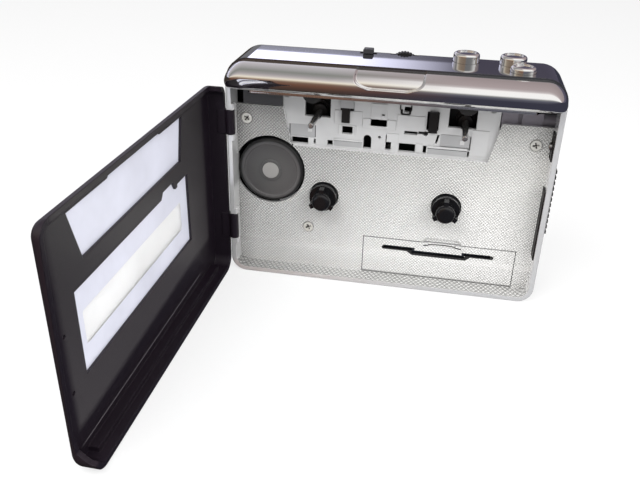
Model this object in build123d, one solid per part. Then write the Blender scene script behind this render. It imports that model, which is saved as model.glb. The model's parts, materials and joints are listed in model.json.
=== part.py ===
"""Portable cassette player with a hinged lid, standing on its bottom edge with the lid open.

Units are millimetres. X runs along the body from the lid's hinge to the socket side, Y from the
front to the back, Z upwards. The origin is the centre of the body's bottom face. "Depth" is
measured backwards from the rim of the cassette well, so depth 0 lies at the front of the body.
"""

import os
from math import cos, pi, sin, sqrt

from build123d import *

# Body. The upper half of the body follows the capstans.
body_width = 108.0
body_depth = 24.5
capstan_height = 59.0
top_above_capstans = 19.3
wall = 1.8
bottom_radius = 5.5
top_radius = 7.5
back_radius = 5.0
frame_depth = 8.0
rim_radius = 0.5
running_gap = 0.3
slip = 0.05
over = 1.0
weld = 0.5
body_height = capstan_height + top_above_capstans
half_width = body_width / 2
inner_half = half_width - wall
rim_y = -body_depth / 2
back_inner = body_depth - wall
cap_under = body_height - wall

# Top band
band_radius = 4.55
band_front = -7.7
band_back = 1.3
band_wall = 1.2
band_half_width = 53.8
band_corner = 4.4
band_slot_front = -3.5
scoop_left = -11.1
scoop_right = 10.7
scoop_drop = 4.8
scoop_front = -5.7
scoop_back = 0.9
scoop_height = 5.0
scoop_corner = 4.5
scoop_bottom = body_height - scoop_drop
well_height = body_height - 2 * band_radius

# Screws
screw_shank_radius = 0.85
screw_head_radius = 1.9
screw_head_height = 0.9
screw_head_proud = 0.5
screw_length = 4.5
screw_hole_extra = 0.5
recess_half = 1.1
recess_width = 0.45
recess_depth = 0.5
boss_radius = 2.4
rear_boss_radius = 3.0
rear_screw_seat = 22.0

# Well floor
floor_front = 6.1
floor_thickness = 1.5
floor_above_capstans = 2.5
cutout_top_half = 37.0
cutout_mid_half = 34.8
cutout_mid_drop = 3.0
cutout_bottom_half = 32.9
cutout_bottom_drop = 11.0
spindle_hole_radius = 5.2
left_screw = (-48.5, 2.3)
right_screw = (47.3, 3.6)
deck_screw_point = (-26.6, 17.8)
screw_dimple = 0.4
motor_hole_gap = 1.0
motor_hole_shift = 0.4
floor_top = capstan_height + floor_above_capstans
floor_back = floor_front + floor_thickness
screw_points = [
    (left_screw[0], capstan_height - left_screw[1]),
    (right_screw[0], capstan_height - right_screw[1]),
]

# Strips in the right wall of the well
insert_depth = 0.8
insert_front = 1.0
insert_proud = 0.4
low_insert = (16.4, 41.5)
high_insert_drops = (17.2, 8.5)
catch_depth = 3.4
catch_drop = 12.8
catch_radius = 1.3
catch_length = 1.1
catch_rounding = 0.4
insert_spans = [low_insert, tuple(well_height - drop for drop in high_insert_drops)]

# Tape path
reel_spacing = 42.5
reel_height = 30.5
capstan_spacing = 49.0
capstan_radius = 1.0
capstan_front = -4.0
capstan_tip_radius = 0.5
hub_radius = 3.3
hub_rounding = 1.4
spline_radius = 4.5
spline_width = 1.6
spline_count = 3
spline_setback = 1.2
collar_radius = 4.7
collar_proud = 0.4
hub_front = -1.0
hub_tail = 0.8
collar_front = 3.4
turntable_radius = 8.5
turntable_front = 10.4
turntable_thickness = 2.0
turntable_rim = 1.2
turntable_boss = 1.5
turntable_dish = 0.6
reel_shaft_radius = 1.2
reel_shaft_front = 1.0
reel_bore_front = 0.8
turntable_back = turntable_front + turntable_thickness
capstans = [-capstan_spacing / 2, capstan_spacing / 2]
reels = [-reel_spacing / 2, reel_spacing / 2]

# Mechanism plate. Window and recess heights are measured from the capstans.
deck_thickness = 1.5
deck_half_width = 37.5
deck_bottom = 15.6
deck_step_rise = 0.2
deck_top_drop = 2.8
deck_upper_left = -35.9
deck_upper_right = 35.3
deck_upper_start = 1.0
wing_end = -49.0
wing_low = 0.5
wing_high = 8.5
deck_motor_gap = 0.6
capstan_hole_gap = 0.4
deck_windows = [
    (-28.7, -20.0, -0.5, 8.0),
    (-16.5, -12.3, -2.0, 4.3),
    (-16.0, -12.4, -5.7, -3.0),
    (-33.3, -27.5, -10.5, -8.2),
    (-25.6, -24.9, -10.2, -8.4),
    (-20.9, -19.0, -10.3, -8.4),
    (-1.1, 0.8, -10.2, -4.7),
    (4.9, 9.2, -4.1, -2.9),
    (9.0, 11.4, -3.6, -3.1),
    (3.4, 8.9, -10.3, -7.3),
    (11.5, 12.6, -10.3, -7.5),
    (12.0, 15.9, -2.0, 4.3),
    (26.1, 26.7, -10.3, -8.2),
    (19.0, 28.0, -0.5, 8.0),
    (4.4, 6.7, 3.5, 5.3),
]
deck_recesses = [(-33.9, -25.3, -7.9, -4.0), (17.0, 26.6, -7.9, -3.0)]
deck_recess_radius = 0.4
deck_recess_depth = 0.6
arch_left = -8.6
arch_right = -5.9
arch_low = -10.3
arch_spring = -6.8
slant_points = [(15.2, -6.4), (15.9, -6.4), (16.6, -3.4), (15.9, -3.4)]
deck_holes = [(-3.2, -5.9, 0.5), (11.9, -3.3, 0.8)]
deck_pips = [(-26.6, -5.2), (24.3, -5.3)]
pip_radius = 0.8
pip_height = 0.7
screw_boss_radius = 1.8
screw_boss_length = 1.8
deck_screw_tip_in = 1.4
deck_top = body_height - deck_top_drop
deck_back = floor_back + deck_thickness
deck_screw_tip = deck_back + deck_screw_tip_in

# Chassis, flywheels and belt
chassis_front = 15.5
chassis_thickness = 1.5
chassis_left = -51.9
chassis_right = 36.0
chassis_bottom = 18.5
chassis_above_capstans = 7.0
chassis_corner = 1.5
post_radius = 1.6
upper_posts = (32.9, 6.7)
left_post_shift = 1.9
lower_posts = (33.5, 20.5)
post_ring_radius = 1.3
post_ring_inside = 0.8
post_ring_depth = 0.5
bearing_radius = 2.4
bearing_flange_radius = 3.2
bearing_flange = 0.8
bearing_front = 12.5
bearing_play = 0.03
flywheel_radius = 9.8
flywheel_boss_radius = 3.0
flywheel_front = 18.2
flywheel_thickness = 3.0
belt_plane = 19.7
belt_width = 1.2
belt_thickness = 0.8
groove_radius = 9.0
groove_width = 1.6
bracket_posts = [-8.0, 8.0]
bracket_post_radius = 1.5
bracket_drop = 1.0
bracket_half_length = 29.0
bracket_low = 3.8
bracket_high = 1.9
bracket_corner = 1.0
bracket_front = 21.7
bracket_thickness = 0.8
bracket_play = 0.1
chassis_back = chassis_front + chassis_thickness
chassis_top = capstan_height + chassis_above_capstans
bracket_height = capstan_height - bracket_drop
post_points = [
    (-upper_posts[0] - left_post_shift, capstan_height + upper_posts[1]),
    (upper_posts[0], capstan_height + upper_posts[1]),
    (lower_posts[0], lower_posts[1]),
    (-lower_posts[0], lower_posts[1]),
]
rear_screws = [
    (0.0, capstan_height + 5.4),
    (0.0, 21.2),
    (-47.0, 22.0),
    (33.0, capstan_height - 19.0),
]

# Motor and leaf switch
motor_x = -40.3
motor_drop = 20.6
motor_radius = 11.5
motor_front = 5.6
motor_rounding = 0.8
motor_rim = 2.0
motor_dish = 0.35
motor_boss_gap = 0.9
motor_cap_radius = 2.9
motor_cap_height = 0.3
motor_cap_rounding = 0.15
motor_bore_depth = 5.0
motor_nose_radius = 1.5
nose_hole_gap = 0.1
motor_nose_length = 1.2
motor_shaft_radius = 0.75
motor_shaft_back = 21.4
pulley_front = 18.2
pulley_back = 21.2
pulley_radius = 3.0
pulley_groove_radius = 2.2
switch_left = -49.7
switch_right = -36.2
switch_proud = 1.4
switch_height = 6.5
motor_z = capstan_height - motor_drop

# Idler
idler_pivot_rise = 16.5
idler_arm_length = 15.5
idler_radius = 5.0
idler_hub_radius = 3.6
idler_axle_radius = 0.8
idler_arm_half = 1.8
idler_arm_thickness = 1.0
idler_eye_radius = 2.8
idler_boss_radius = 2.2
idler_boss_gap = 0.1
idler_lip = 0.6
idler_pivot_height = reel_height + idler_pivot_rise
idler_height = idler_pivot_height - idler_arm_length
idler_back = turntable_back

# Tape head and pinch rollers, drawn lifted clear of the cassette
head_travel = 6.0
roller_radius = 3.2
roller_front = -2.8
roller_back = 1.0
roller_rounding = 0.4
roller_pin_radius = 0.7
roller_pin_proud = 0.3
roller_arm_half = 2.2
roller_arm_reach = 4.5
bracket_sheet = 1.0
head_plate_front = 4.3
head_plate_thickness = 1.0
head_plate_half = 31.0
head_plate_drop = 8.1
head_plate_height = 5.8
head_plate_corner = 0.6
head_pad_half = 8.0
head_pad_corner = 0.4
head_half_width = 6.0
head_drop = 8.4
head_height = 5.7
head_nose_radius = 2.5
head_front = -2.9
rail_width = 1.7
rail_lip = 1.3
rail_front_gap = 1.2
rail_reach = 3.5
head_plate_bottom = body_height - head_plate_drop
head_bottom = body_height - head_drop
roller_height = capstan_height + capstan_radius + roller_radius + slip + head_travel

# Batteries and their door
cell_radius = 7.1
cell_length = 49.5
cell_nub_length = 1.0
cell_nub_radius = 2.7
cell_depth = 14.9
cell_height = 10.0
contact_thickness = 0.4
contact_front = 10.5
contact_back = 19.3
contact_low = 6.0
contact_high = 14.5
spring_coil_radius = 3.0
spring_coil_wire = 0.3
spring_coil_turns = 2.5
door_left = -6.4
door_right = 46.7
door_top = 16.2
door_gap = 0.12
door_barrel_radius = 1.1
door_barrel_gap = 0.1
door_pin_radius = 0.55
door_pin_length = 2.0
door_lug_wall = 0.6
door_lug_height = 2.6
door_notch = (14.8, 27.8)
door_notch_low = 1.5
door_notch_high = 1.9
door_notch_radius = 1.4
door_notch_depth = 0.8
door_grip = (16.4, 26.2)
door_grip_low = 1.5
door_grip_high = 1.0
door_grip_radius = 1.2
door_grip_depth = 0.6
slot_drop = 3.8
slot_height = 1.2
slot_step = 1.0
slot_left_arm = (0.8, 12.0)
slot_middle = (11.0, 29.5)
slot_right_arm = (28.5, 38.4)
door_hinge_depth = floor_front + door_barrel_radius
door_hinge_height = wall + door_barrel_gap + door_barrel_radius
right_cell_left = inner_half - contact_thickness - cell_length - cell_nub_length
left_cell_left = right_cell_left - cell_length - cell_nub_length

# Buttons and their board
button_proud = 2.9
low_button_proud = 1.8
button_skirt_drop = 1.3
button_rounding = 0.9
button_rim = 1.2
button_dish = 0.35
button_gap = 0.15
stem_radius = 1.5
stem_gap = 0.1
foot_radius = 1.9
foot_height = 0.8
seat_drop = 7.6
seat_thickness = 1.0
play_place = (22.4, 15.8)
stop_place = (37.2, 15.8)
forward_place = (39.9, 7.3)
wide_button_radius = 4.2
small_button_radius = 4.0
spring_wire = 0.25
spring_radius = 2.4
spring_turns = 4.0
spring_play = 0.02
key_board_left = 15.5
key_board_right = 48.6
key_board_front = 9.5
key_ear_left = 36.2
key_ear_front = 4.6
board_back_gap = 0.5
rib_left = -17.0
rib_right = 50.0
rib_width = 1.3
rib_bite = 1.6
side_rib_front = 10.0
side_rib_back = 18.0
button_skirt = body_height - button_skirt_drop
seat_height = body_height - seat_drop
board_face = seat_height + seat_thickness
buttons = {
    "play": (play_place, wide_button_radius, button_proud),
    "stop": (stop_place, wide_button_radius, button_proud),
    "forward": (forward_place, small_button_radius, low_button_proud),
}

# Volume wheel and mode slider
wheel_x = 2.3
wheel_radius = 5.0
wheel_drop = 4.2
wheel_front = 18.8
wheel_thickness = 2.4
wheel_notches = 30
notch_radius = 0.22
wheel_axle_radius = 1.0
wheel_axle_front = 14.2
pot_half = 4.5
pot_front = 12.8
pot_back = 17.4
pot_hole_front = 14.0
control_board_right = 12.0
control_board_front = 10.5
slider_x = -9.6
slider_depth = 18.0
slider_travel = 1.5
slider_stem_half = 1.0
slider_stem_depth_half = 0.8
slider_stem_drop = 4.5
slider_slot_depth_half = 1.1
switch_half = 5.0
switch_depth_half = 2.5
switch_drop = 2.7
switch_slot_drop = 4.7
switch_slot_half = 0.95
knob_width = 3.3
knob_depth = 2.8
knob_proud = 1.6
knob_gap = 0.15
knob_rounding = 0.4
wheel_height = body_height - wheel_drop
knob_top = body_height + knob_proud
wheel_slot_half = sqrt(wheel_radius**2 - (wheel_height - cap_under) ** 2) + running_gap

# Sockets and side strip
board_left = 38.0
board_front = 13.4
board_thickness = 1.2
board_bottom = 19.5
board_above_capstans = 7.2
board_side_gap = 0.4
board_post_radius = 1.5
board_posts = [(41.0, 22.5), (41.0, 50.0)]
jack_drop = 8.2
jack_half = 2.8
jack_left = 35.6
jack_right = 48.5
jack_bore = 1.8
jack_sleeve_radius = 2.45
jack_hole_radius = 2.5
jack_end_wall = 1.0
jack_groove = (40.6, 41.9)
jack_groove_depth = 0.8
usb_height = 42.0
usb_size = (3.9, 7.7)
usb_hole_gap = 0.15
usb_length = 7.5
usb_metal = 0.4
usb_back = 1.0
usb_tongue = (0.5, 2.6)
usb_tongue_setback = 1.5
socket_setback = 0.2
power_height = 28.0
power_bore = 1.75
power_half = 3.4
power_rise = 2.8
power_length = 9.0
power_setback = 0.4
power_sleeve_radius = 2.65
power_hole_radius = 2.8
power_bore_depth = 7.0
power_pin_radius = 0.5
power_pin_setback = 1.0
grip_bottom = 23.0
grip_top = 47.0
grip_front = 8.0
grip_back = 12.0
grip_base = 0.9
grip_proud = 1.7
grip_rib_root = 0.5
rib_pitch = 2.0
jack_height = seat_height - jack_drop
board_top = capstan_height + board_above_capstans
board_back = board_front + board_thickness
jack_depth = board_front - jack_half
usb_depth = board_back + usb_size[0] / 2
power_depth = board_back + power_rise

# Lid, drawn closed and then swung open. Upper heights are measured down from its top.
lid_open_angle = 90.7
lid_depth = 7.7
lid_wall = 1.6
lid_rim = -0.45
lid_low = 0.3
lid_corner = 4.0
lid_edge_radius = 3.0
lid_top_lip = 4.5
lid_lip_drop = 3.0
ledge_half = 47.0
ledge_back = -3.2
ledge_height = 1.5
ledge_bite = 0.1
plate_thickness = 0.8
plate_left = -46.0
plate_right = 47.0
plate_low = 7.0
plate_drop = 1.7
plate_corner = 3.0
window_left = -24.7
window_right = 38.8
window_low = 29.0
window_high = 38.5
window_corner = 0.8
pin_hole_x = 49.0
pin_hole_heights = (38.2, 22.0)
pin_hole_radius = 0.6
pin_hole_wall = 0.2
upper_opening = [
    (-28.9, 3.5),
    (-12.0, 3.5),
    (-11.0, 2.5),
    (19.5, 2.5),
    (20.5, 3.5),
    (40.6, 3.5),
    (36.3, 17.0),
    (-25.7, 17.0),
]
lower_opening = [
    (-30.3, 22.9),
    (-21.9, 22.9),
    (-21.7, 23.9),
    (-20.2, 23.9),
    (-18.5, 21.0),
    (-11.0, 21.0),
    (-9.4, 22.9),
    (42.2, 22.9),
    (42.2, 46.4),
    (-30.3, 46.4),
]
lid_high = well_height - running_gap
plate_high = lid_high - plate_drop

# Lid hinge
hinge_x = -53.0
hinge_depth = 1.3
knuckle_radius = 1.6
hinge_pin_radius = 0.7
hinge_pin_inset = 0.5
hinge_lug = 2.2
hinge_lug_depth = 2.9
hinge_lug_rounding = 0.5
hinge_lug_setback = 0.2
knuckle_gap = 0.15
hinge_pocket_gap = 0.4
knuckle_arm_front = -3.0
knuckle_arm_half = 0.8
low_knuckle = (13.0, 22.5)
high_knuckle_drops = (16.9, 8.5)
knuckle_spans = [low_knuckle, tuple(well_height - drop for drop in high_knuckle_drops)]


def slab(outline, front, back):
    """Solid of a front-view outline in X and Z, between two depths."""
    plane = Plane(origin=(0, rim_y + back, 0), x_dir=(1, 0, 0), z_dir=(0, -1, 0))
    return extrude(plane * outline, amount=back - front)


def lengthwise(profile, left, right):
    """Solid of a side-view profile in Y and Z, between two X places."""
    plane = Plane(origin=(left, 0, 0), x_dir=(0, 1, 0), z_dir=(1, 0, 0))
    return extrude(plane * profile, amount=right - left)


def block(left, right, front, back, low, high):
    """Box between two X places, two depths and two heights."""
    centre = ((left + right) / 2, rim_y + (front + back) / 2, (low + high) / 2)
    return Pos(*centre) * Box(right - left, back - front, high - low)


def disc(x, z, radius, front, back):
    """Cylinder along the depth."""
    return slab(Pos(x, z) * Circle(radius), front, back)


def ring(x, z, outer, inner, front, back):
    """Tube along the depth."""
    return disc(x, z, outer, front, back) - disc(x, z, inner, front, back)


def upright(x, depth, radius, low, high):
    """Cylinder along Z."""
    return Pos(x, rim_y + depth, (low + high) / 2) * Cylinder(radius, high - low)


def crosswise(depth, z, radius, left, right):
    """Cylinder along X."""
    bar = Rot(0, 90, 0) * Cylinder(radius, right - left)
    return Pos((left + right) / 2, rim_y + depth, z) * bar


def panel(left, right, low, high, radius=0.0):
    """Front-view rectangle, rounded when a radius is given."""
    width = right - left
    height = high - low
    shape = RectangleRounded(width, height, radius) if radius else Rectangle(width, height)
    return Pos((left + right) / 2, (low + high) / 2) * shape


def outline(inset, low, high, low_radius, high_radius):
    """Front-view outline of the body's width with its own bottom and top corners."""
    edge = half_width - inset
    shape = panel(-edge, edge, low, high)
    if low_radius > 0:
        shape = fillet(shape.vertices().sort_by(Axis.Y)[:2], low_radius)
    if high_radius > 0:
        shape = fillet(shape.vertices().sort_by(Axis.Y)[-2:], high_radius)
    return shape


def cross_screw(x, z, head_front, tip):
    """Small screw along the depth with its head in front and a cross recess."""
    head_back = head_front + screw_head_height
    screw = disc(x, z, screw_head_radius, head_front, head_back)
    screw += disc(x, z, screw_shank_radius, head_back, tip)
    for along, across in ((recess_half, recess_width / 2), (recess_width / 2, recess_half)):
        slot = panel(x - along, x + along, z - across, z + across)
        screw -= slab(slot, head_front, head_front + recess_depth)
    return screw


def well_floor():
    """Knurled floor of the cassette well with its cut-outs and the door's hinge lugs."""
    corner = bottom_radius - wall + slip
    shape = outline(wall, wall, floor_top, corner, 0)
    floor = slab(shape, floor_front, floor_back)
    top = floor_top + 5 * over
    middle = capstan_height - cutout_mid_drop
    bottom = capstan_height - cutout_bottom_drop
    cutout = make_face(
        Polyline(
            (-cutout_top_half, top),
            (-cutout_mid_half, middle),
            (-cutout_bottom_half, bottom),
            (cutout_bottom_half, bottom),
            (cutout_mid_half, middle),
            (cutout_top_half, top),
            close=True,
        )
    )
    front = floor_front - over
    back = floor_back + over
    floor -= slab(cutout, front, back)
    for x in reels:
        floor -= disc(x, reel_height, spindle_hole_radius, front, back)
    floor -= disc(motor_x - motor_hole_shift, motor_z, motor_radius + motor_hole_gap, front, back)
    for x, z in screw_points + [deck_screw_point]:
        floor -= disc(x, z, screw_head_radius + slip, front, floor_front + screw_dimple)
        floor -= disc(x, z, screw_shank_radius, floor_front, back)
    doorway = panel(door_left - door_gap, door_right + door_gap, 0, door_top + door_gap)
    floor -= slab(doorway, front, back)
    notch = panel(*door_notch, door_top - door_notch_low, door_top + door_notch_high, door_notch_radius)
    floor -= slab(notch, front, floor_front + door_notch_depth)
    for side, edge in ((-1, door_left - door_gap), (1, door_right + door_gap)):
        reach = edge + side * (door_pin_length + door_lug_wall)
        left, right = sorted((edge, reach))
        lug = block(left, right, floor_front, frame_depth, wall, wall + door_lug_height)
        floor += lug & slab(shape, floor_front, frame_depth)
        pin_end = edge + side * (door_pin_length + slip)
        left, right = sorted((edge - side * over, pin_end))
        floor -= crosswise(door_hinge_depth, door_hinge_height, door_pin_radius + slip, left, right)
    return floor


def well_frame():
    """Chrome walls of the cassette well with the lid's hinge lugs."""
    outer = slab(outline(0, 0, well_height, bottom_radius, 0), 0, frame_depth)
    front_edges = outer.faces().sort_by(Axis.Y)[0].edges()
    front_edges = front_edges.filter_by(lambda e: e.center().Z < well_height - over)
    outer = fillet(front_edges, rim_radius)
    cavity = outline(wall, wall, well_height + over, bottom_radius - wall, 0)
    frame = outer - slab(cavity, -over, frame_depth + over)
    for low, high in knuckle_spans:
        for start in (low - hinge_lug, high):
            left = -half_width + hinge_lug_setback
            lug = block(left, hinge_x + knuckle_radius, 0, hinge_lug_depth, start, start + hinge_lug)
            frame += fillet(lug.edges().filter_by(Axis.Z).sort_by(Axis.Y)[:2], hinge_lug_rounding)
        right = hinge_x + knuckle_radius + running_gap
        pocket = hinge_depth + knuckle_radius + hinge_pocket_gap
        frame -= block(-half_width - over, right, -over, pocket, low - knuckle_gap, high + knuckle_gap)
        pin_low = low - hinge_lug + hinge_pin_inset
        pin_high = high + hinge_lug - hinge_pin_inset
        frame -= upright(hinge_x, hinge_depth, hinge_pin_radius, pin_low, pin_high)
    for low, high in insert_spans:
        frame -= block(inner_half - over, inner_half + insert_depth, insert_front, floor_front, low, high)
    return frame


def wall_inserts():
    """Black strips let into the right wall of the well."""
    return [
        block(inner_half - insert_proud, inner_half + insert_depth, insert_front, floor_front, low, high)
        for low, high in insert_spans
    ]


def latch_catch():
    """Round catch that the lid snaps over, on the upper insert."""
    face = inner_half - insert_proud
    post = crosswise(catch_depth, well_height - catch_drop, catch_radius, face - catch_length, face)
    return fillet(post.faces().sort_by(Axis.X)[0].edges(), catch_rounding)


def rear_shell():
    """Black case back with its top, bosses, ribs and openings for the controls."""
    shape = outline(0, 0, body_height, bottom_radius, top_radius)
    outer = slab(shape, frame_depth, body_depth)
    outer = fillet(outer.faces().sort_by(Axis.Y)[-1].edges(), back_radius)
    top_front = outline(0, well_height, body_height, 0, top_radius)
    outer += slab(top_front, band_back, frame_depth)
    inner_shape = outline(wall, wall, cap_under, bottom_radius - wall, top_radius - wall)
    inner = slab(inner_shape, frame_depth, back_inner)
    inner = fillet(inner.faces().sort_by(Axis.Y)[-1].edges(), back_radius - wall)
    inner += slab(outline(wall, well_height, cap_under, 0, top_radius - wall), band_back, frame_depth)
    shell = outer - inner
    front = band_back - over
    shell -= block(-inner_half, inner_half, front, frame_depth, well_height - over, well_height + 2 * over)
    wall_bite = back_inner + weld
    for x, z in screw_points:
        shell += disc(x, z, boss_radius, floor_back, wall_bite)
        hole_back = floor_back + screw_length + screw_hole_extra
        shell -= disc(x, z, screw_shank_radius, floor_back - over, hole_back)
    for x, z in rear_screws:
        shell += disc(x, z, rear_boss_radius, chassis_back, wall_bite)
        shell -= disc(x, z, screw_head_radius + slip, rear_screw_seat, body_depth + over)
        shell -= disc(x, z, screw_shank_radius, chassis_back - over, body_depth)
    rib_low = seat_height - rib_width
    shell += block(rib_left, rib_right, back_inner - rib_width, wall_bite, rib_low, seat_height)
    left = key_board_right - rib_bite
    shell += block(left, inner_half + weld, side_rib_front, side_rib_back, rib_low, seat_height)
    for x, z in board_posts:
        shell += disc(x, z, board_post_radius, board_back, wall_bite)
    low = cap_under - over
    high = body_height + over
    for (x, depth), radius, _ in buttons.values():
        shell -= upright(x, depth, radius + button_gap, low, high)
    half = slider_stem_half + slider_travel + running_gap
    front = slider_depth - slider_slot_depth_half
    back = slider_depth + slider_slot_depth_half
    shell -= block(slider_x - half, slider_x + half, front, back, low, high)
    left = wheel_x - wheel_slot_half
    right = wheel_x + wheel_slot_half
    back = wheel_front + wheel_thickness + running_gap
    shell -= block(left, right, wheel_front - running_gap, back, low, high)
    left = inner_half - over
    right = half_width + over
    shell -= crosswise(jack_depth, jack_height, jack_hole_radius, left, right)
    shell -= crosswise(power_depth, power_height, power_hole_radius, left, right)
    half_deep = usb_size[0] / 2 + usb_hole_gap
    half_tall = usb_size[1] / 2 + usb_hole_gap
    front = usb_depth - half_deep
    back = usb_depth + half_deep
    return shell - block(left, right, front, back, usb_height - half_tall, usb_height + half_tall)


def band_profile(inset):
    """Side-view profile of the band, inset by a wall: round below, a longer curve above."""
    radius = band_radius - inset
    reach = band_back - band_front - inset
    back = rim_y + band_back
    centre_z = body_height - band_radius
    upper = Pos(back, centre_z) * Ellipse(reach, radius)
    upper &= Pos(back - reach / 2, centre_z + radius / 2) * Rectangle(reach, radius)
    centre_y = rim_y + band_front + band_radius
    lower = Pos(centre_y, centre_z) * Circle(radius)
    lower &= Pos(centre_y, centre_z - radius / 2) * Rectangle(2 * radius, radius)
    middle = (centre_y + back) / 2
    return upper + lower + Pos(middle, centre_z - radius / 2) * Rectangle(back - centre_y, radius)


def band_plan(inset):
    """Plan-view outline of the band with rounded front corners."""
    edge = band_half_width - inset
    front = rim_y + band_front + inset
    back = rim_y + band_back
    shape = Pos(0, (front + back) / 2) * Rectangle(2 * edge, back - front)
    return fillet(shape.vertices().sort_by(Axis.Y)[:2], band_corner - inset)


def band_solid(inset):
    """Band body: side profile, front outline and plan outline together."""
    edge = band_half_width - inset
    low = body_height - 2 * band_radius + inset
    body = lengthwise(band_profile(inset), -edge, edge)
    face = outline(half_width - edge, low, body_height - inset, 0, top_radius - inset)
    body &= slab(face, -body_depth, body_depth)
    return body & extrude(Pos(0, 0, low - over) * band_plan(inset), amount=body_height)


def scoop_tool(offset):
    """Everything in front of the thumb scoop's surface, moved back by an offset."""
    reach = scoop_back - scoop_front
    centre = Pos(rim_y + scoop_back, body_height - scoop_height)
    surface = centre * Ellipse(reach - offset, scoop_height - offset)
    left = scoop_left - offset
    right = scoop_right + offset
    face = panel(left, right, scoop_bottom - offset, body_height + over)
    face = fillet(face.vertices().sort_by(Axis.Y)[:2], scoop_corner)
    front = slab(face, -body_depth, scoop_back)
    return front - lengthwise(surface, left - over, right + over)


def top_band():
    """Hollow chrome band over the well, open below for the head and rollers."""
    band = band_solid(0) - scoop_tool(0)
    edge = half_width - top_radius - weld
    hollow = lengthwise(band_profile(band_wall), -edge, edge)
    back = band_back + over
    opening = block(-edge, edge, band_slot_front, back, well_height - over, well_height + 3 * over)
    high = body_height - band_wall
    back_opening = block(-edge, edge, band_back - 2 * over, back, well_height + over, high)
    inside = hollow + opening + back_opening
    return band - (inside - scoop_tool(band_wall))


def deck_plate():
    """Light grey mechanism plate with its windows, slots and recesses."""
    front = floor_back - over
    back = deck_back + over
    wing = capstan_height + wing_low
    shape = panel(-deck_half_width, deck_half_width, deck_bottom, capstan_height + deck_step_rise)
    shape += panel(deck_upper_left, deck_upper_right, capstan_height - deck_upper_start, deck_top)
    shape += panel(wing_end, deck_upper_left, wing, capstan_height + wing_high)
    plate = slab(shape, floor_back, deck_back)
    plate -= disc(motor_x, motor_z, motor_radius + deck_motor_gap, front, back)
    plate -= disc(*screw_points[0], boss_radius + running_gap, front, back)
    for x in capstans:
        plate -= disc(x, capstan_height, capstan_radius + capstan_hole_gap, front, back)
    for x in reels:
        plate -= disc(x, reel_height, collar_radius + running_gap, front, back)
    for left, right, low, high in deck_windows:
        plate -= slab(panel(left, right, capstan_height + low, capstan_height + high), front, back)
    for x, rise, radius in deck_holes:
        plate -= disc(x, capstan_height + rise, radius, front, back)
    plate -= slab(arch_slot(), front, back)
    plate -= slab(slanted_slot(), front, back)
    for left, right, low, high in deck_recesses:
        recess = panel(left, right, capstan_height + low, capstan_height + high, deck_recess_radius)
        plate -= slab(recess, front, floor_back + deck_recess_depth)
    for x, rise in deck_pips:
        plate += disc(x, capstan_height + rise, pip_radius, floor_back, floor_back + pip_height)
    for x, z in post_points:
        plate -= ring(x, z, post_ring_radius, post_ring_inside, front, floor_back + post_ring_depth)
        plate += disc(x, z, post_radius, deck_back, chassis_front)
    x, z = deck_screw_point
    plate += disc(x, z, screw_boss_radius, deck_back, deck_back + screw_boss_length)
    plate -= disc(x, z, screw_shank_radius, front, deck_screw_tip)
    front = head_plate_front - rail_front_gap
    low = head_plate_bottom - rail_reach
    for side in (-1, 1):
        near = side * (head_plate_half + running_gap)
        far = near + side * rail_width
        left, right = sorted((near, far))
        plate += block(left, right, front, floor_back, low, deck_top)
        left, right = sorted((near - side * rail_lip, far))
        plate += block(left, right, front, head_plate_front - running_gap, low, deck_top)
    return plate


def arch_slot():
    """Slot with a round top."""
    spring = capstan_height + arch_spring
    radius = (arch_right - arch_left) / 2
    top = Pos(arch_left + radius, spring) * Circle(radius)
    return panel(arch_left, arch_right, capstan_height + arch_low, spring) + top


def slanted_slot():
    """Narrow leaning slot."""
    return make_face(Polyline(*[(x, capstan_height + rise) for x, rise in slant_points], close=True))


def mech_chassis():
    """Rear plate of the mechanism that carries the motor, bearings and shafts."""
    front = chassis_front - over
    back = chassis_back + over
    shape = panel(chassis_left, chassis_right, chassis_bottom, chassis_top, chassis_corner)
    plate = slab(shape, chassis_front, chassis_back)
    plate -= disc(*screw_points[0], boss_radius + running_gap, front, back)
    plate -= disc(motor_x, motor_z, motor_nose_radius + nose_hole_gap, front, back)
    for x in capstans:
        plate -= disc(x, capstan_height, bearing_radius, front, back)
    for x in reels:
        plate -= disc(x, reel_height, reel_shaft_radius, front, back)
    plate -= disc(0, idler_pivot_height, reel_shaft_radius, front, back)
    for x, z in rear_screws:
        plate -= disc(x, z, screw_shank_radius, front, back)
    for x in bracket_posts:
        plate += disc(x, bracket_height, bracket_post_radius, chassis_back, bracket_front)
    return plate


def flywheel_bracket():
    """Thin steel strip behind the flywheels."""
    low = capstan_height - bracket_low
    high = capstan_height + bracket_high
    shape = panel(-bracket_half_length, bracket_half_length, low, high, bracket_corner)
    return slab(shape, bracket_front, bracket_front + bracket_thickness)


def capstan_bearings():
    """Flanged sleeves pressed into the chassis."""
    sleeves = []
    for x in capstans:
        sleeve = disc(x, capstan_height, bearing_radius, bearing_front, chassis_back)
        flange_front = chassis_front - bearing_flange
        sleeve += disc(x, capstan_height, bearing_flange_radius, flange_front, chassis_front)
        bore = capstan_radius + bearing_play
        sleeve -= disc(x, capstan_height, bore, bearing_front - over, chassis_back + over)
        sleeves.append(sleeve)
    return sleeves


def capstan(x):
    """Polished shaft with a rounded tip."""
    shaft = disc(x, capstan_height, capstan_radius, capstan_front, bracket_front - bracket_play)
    return fillet(shaft.faces().sort_by(Axis.Y)[0].edges(), capstan_tip_radius)


def flywheel(x):
    """Heavy disc with a belt groove and a boss on the capstan."""
    back = flywheel_front + flywheel_thickness
    wheel = disc(x, capstan_height, flywheel_radius, flywheel_front, back)
    wheel += disc(x, capstan_height, flywheel_boss_radius, chassis_back + running_gap, flywheel_front)
    low = belt_plane - groove_width / 2
    high = belt_plane + groove_width / 2
    wheel -= ring(x, capstan_height, flywheel_radius + over, groove_radius, low, high)
    return wheel - disc(x, capstan_height, capstan_radius, 0, body_depth)


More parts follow.
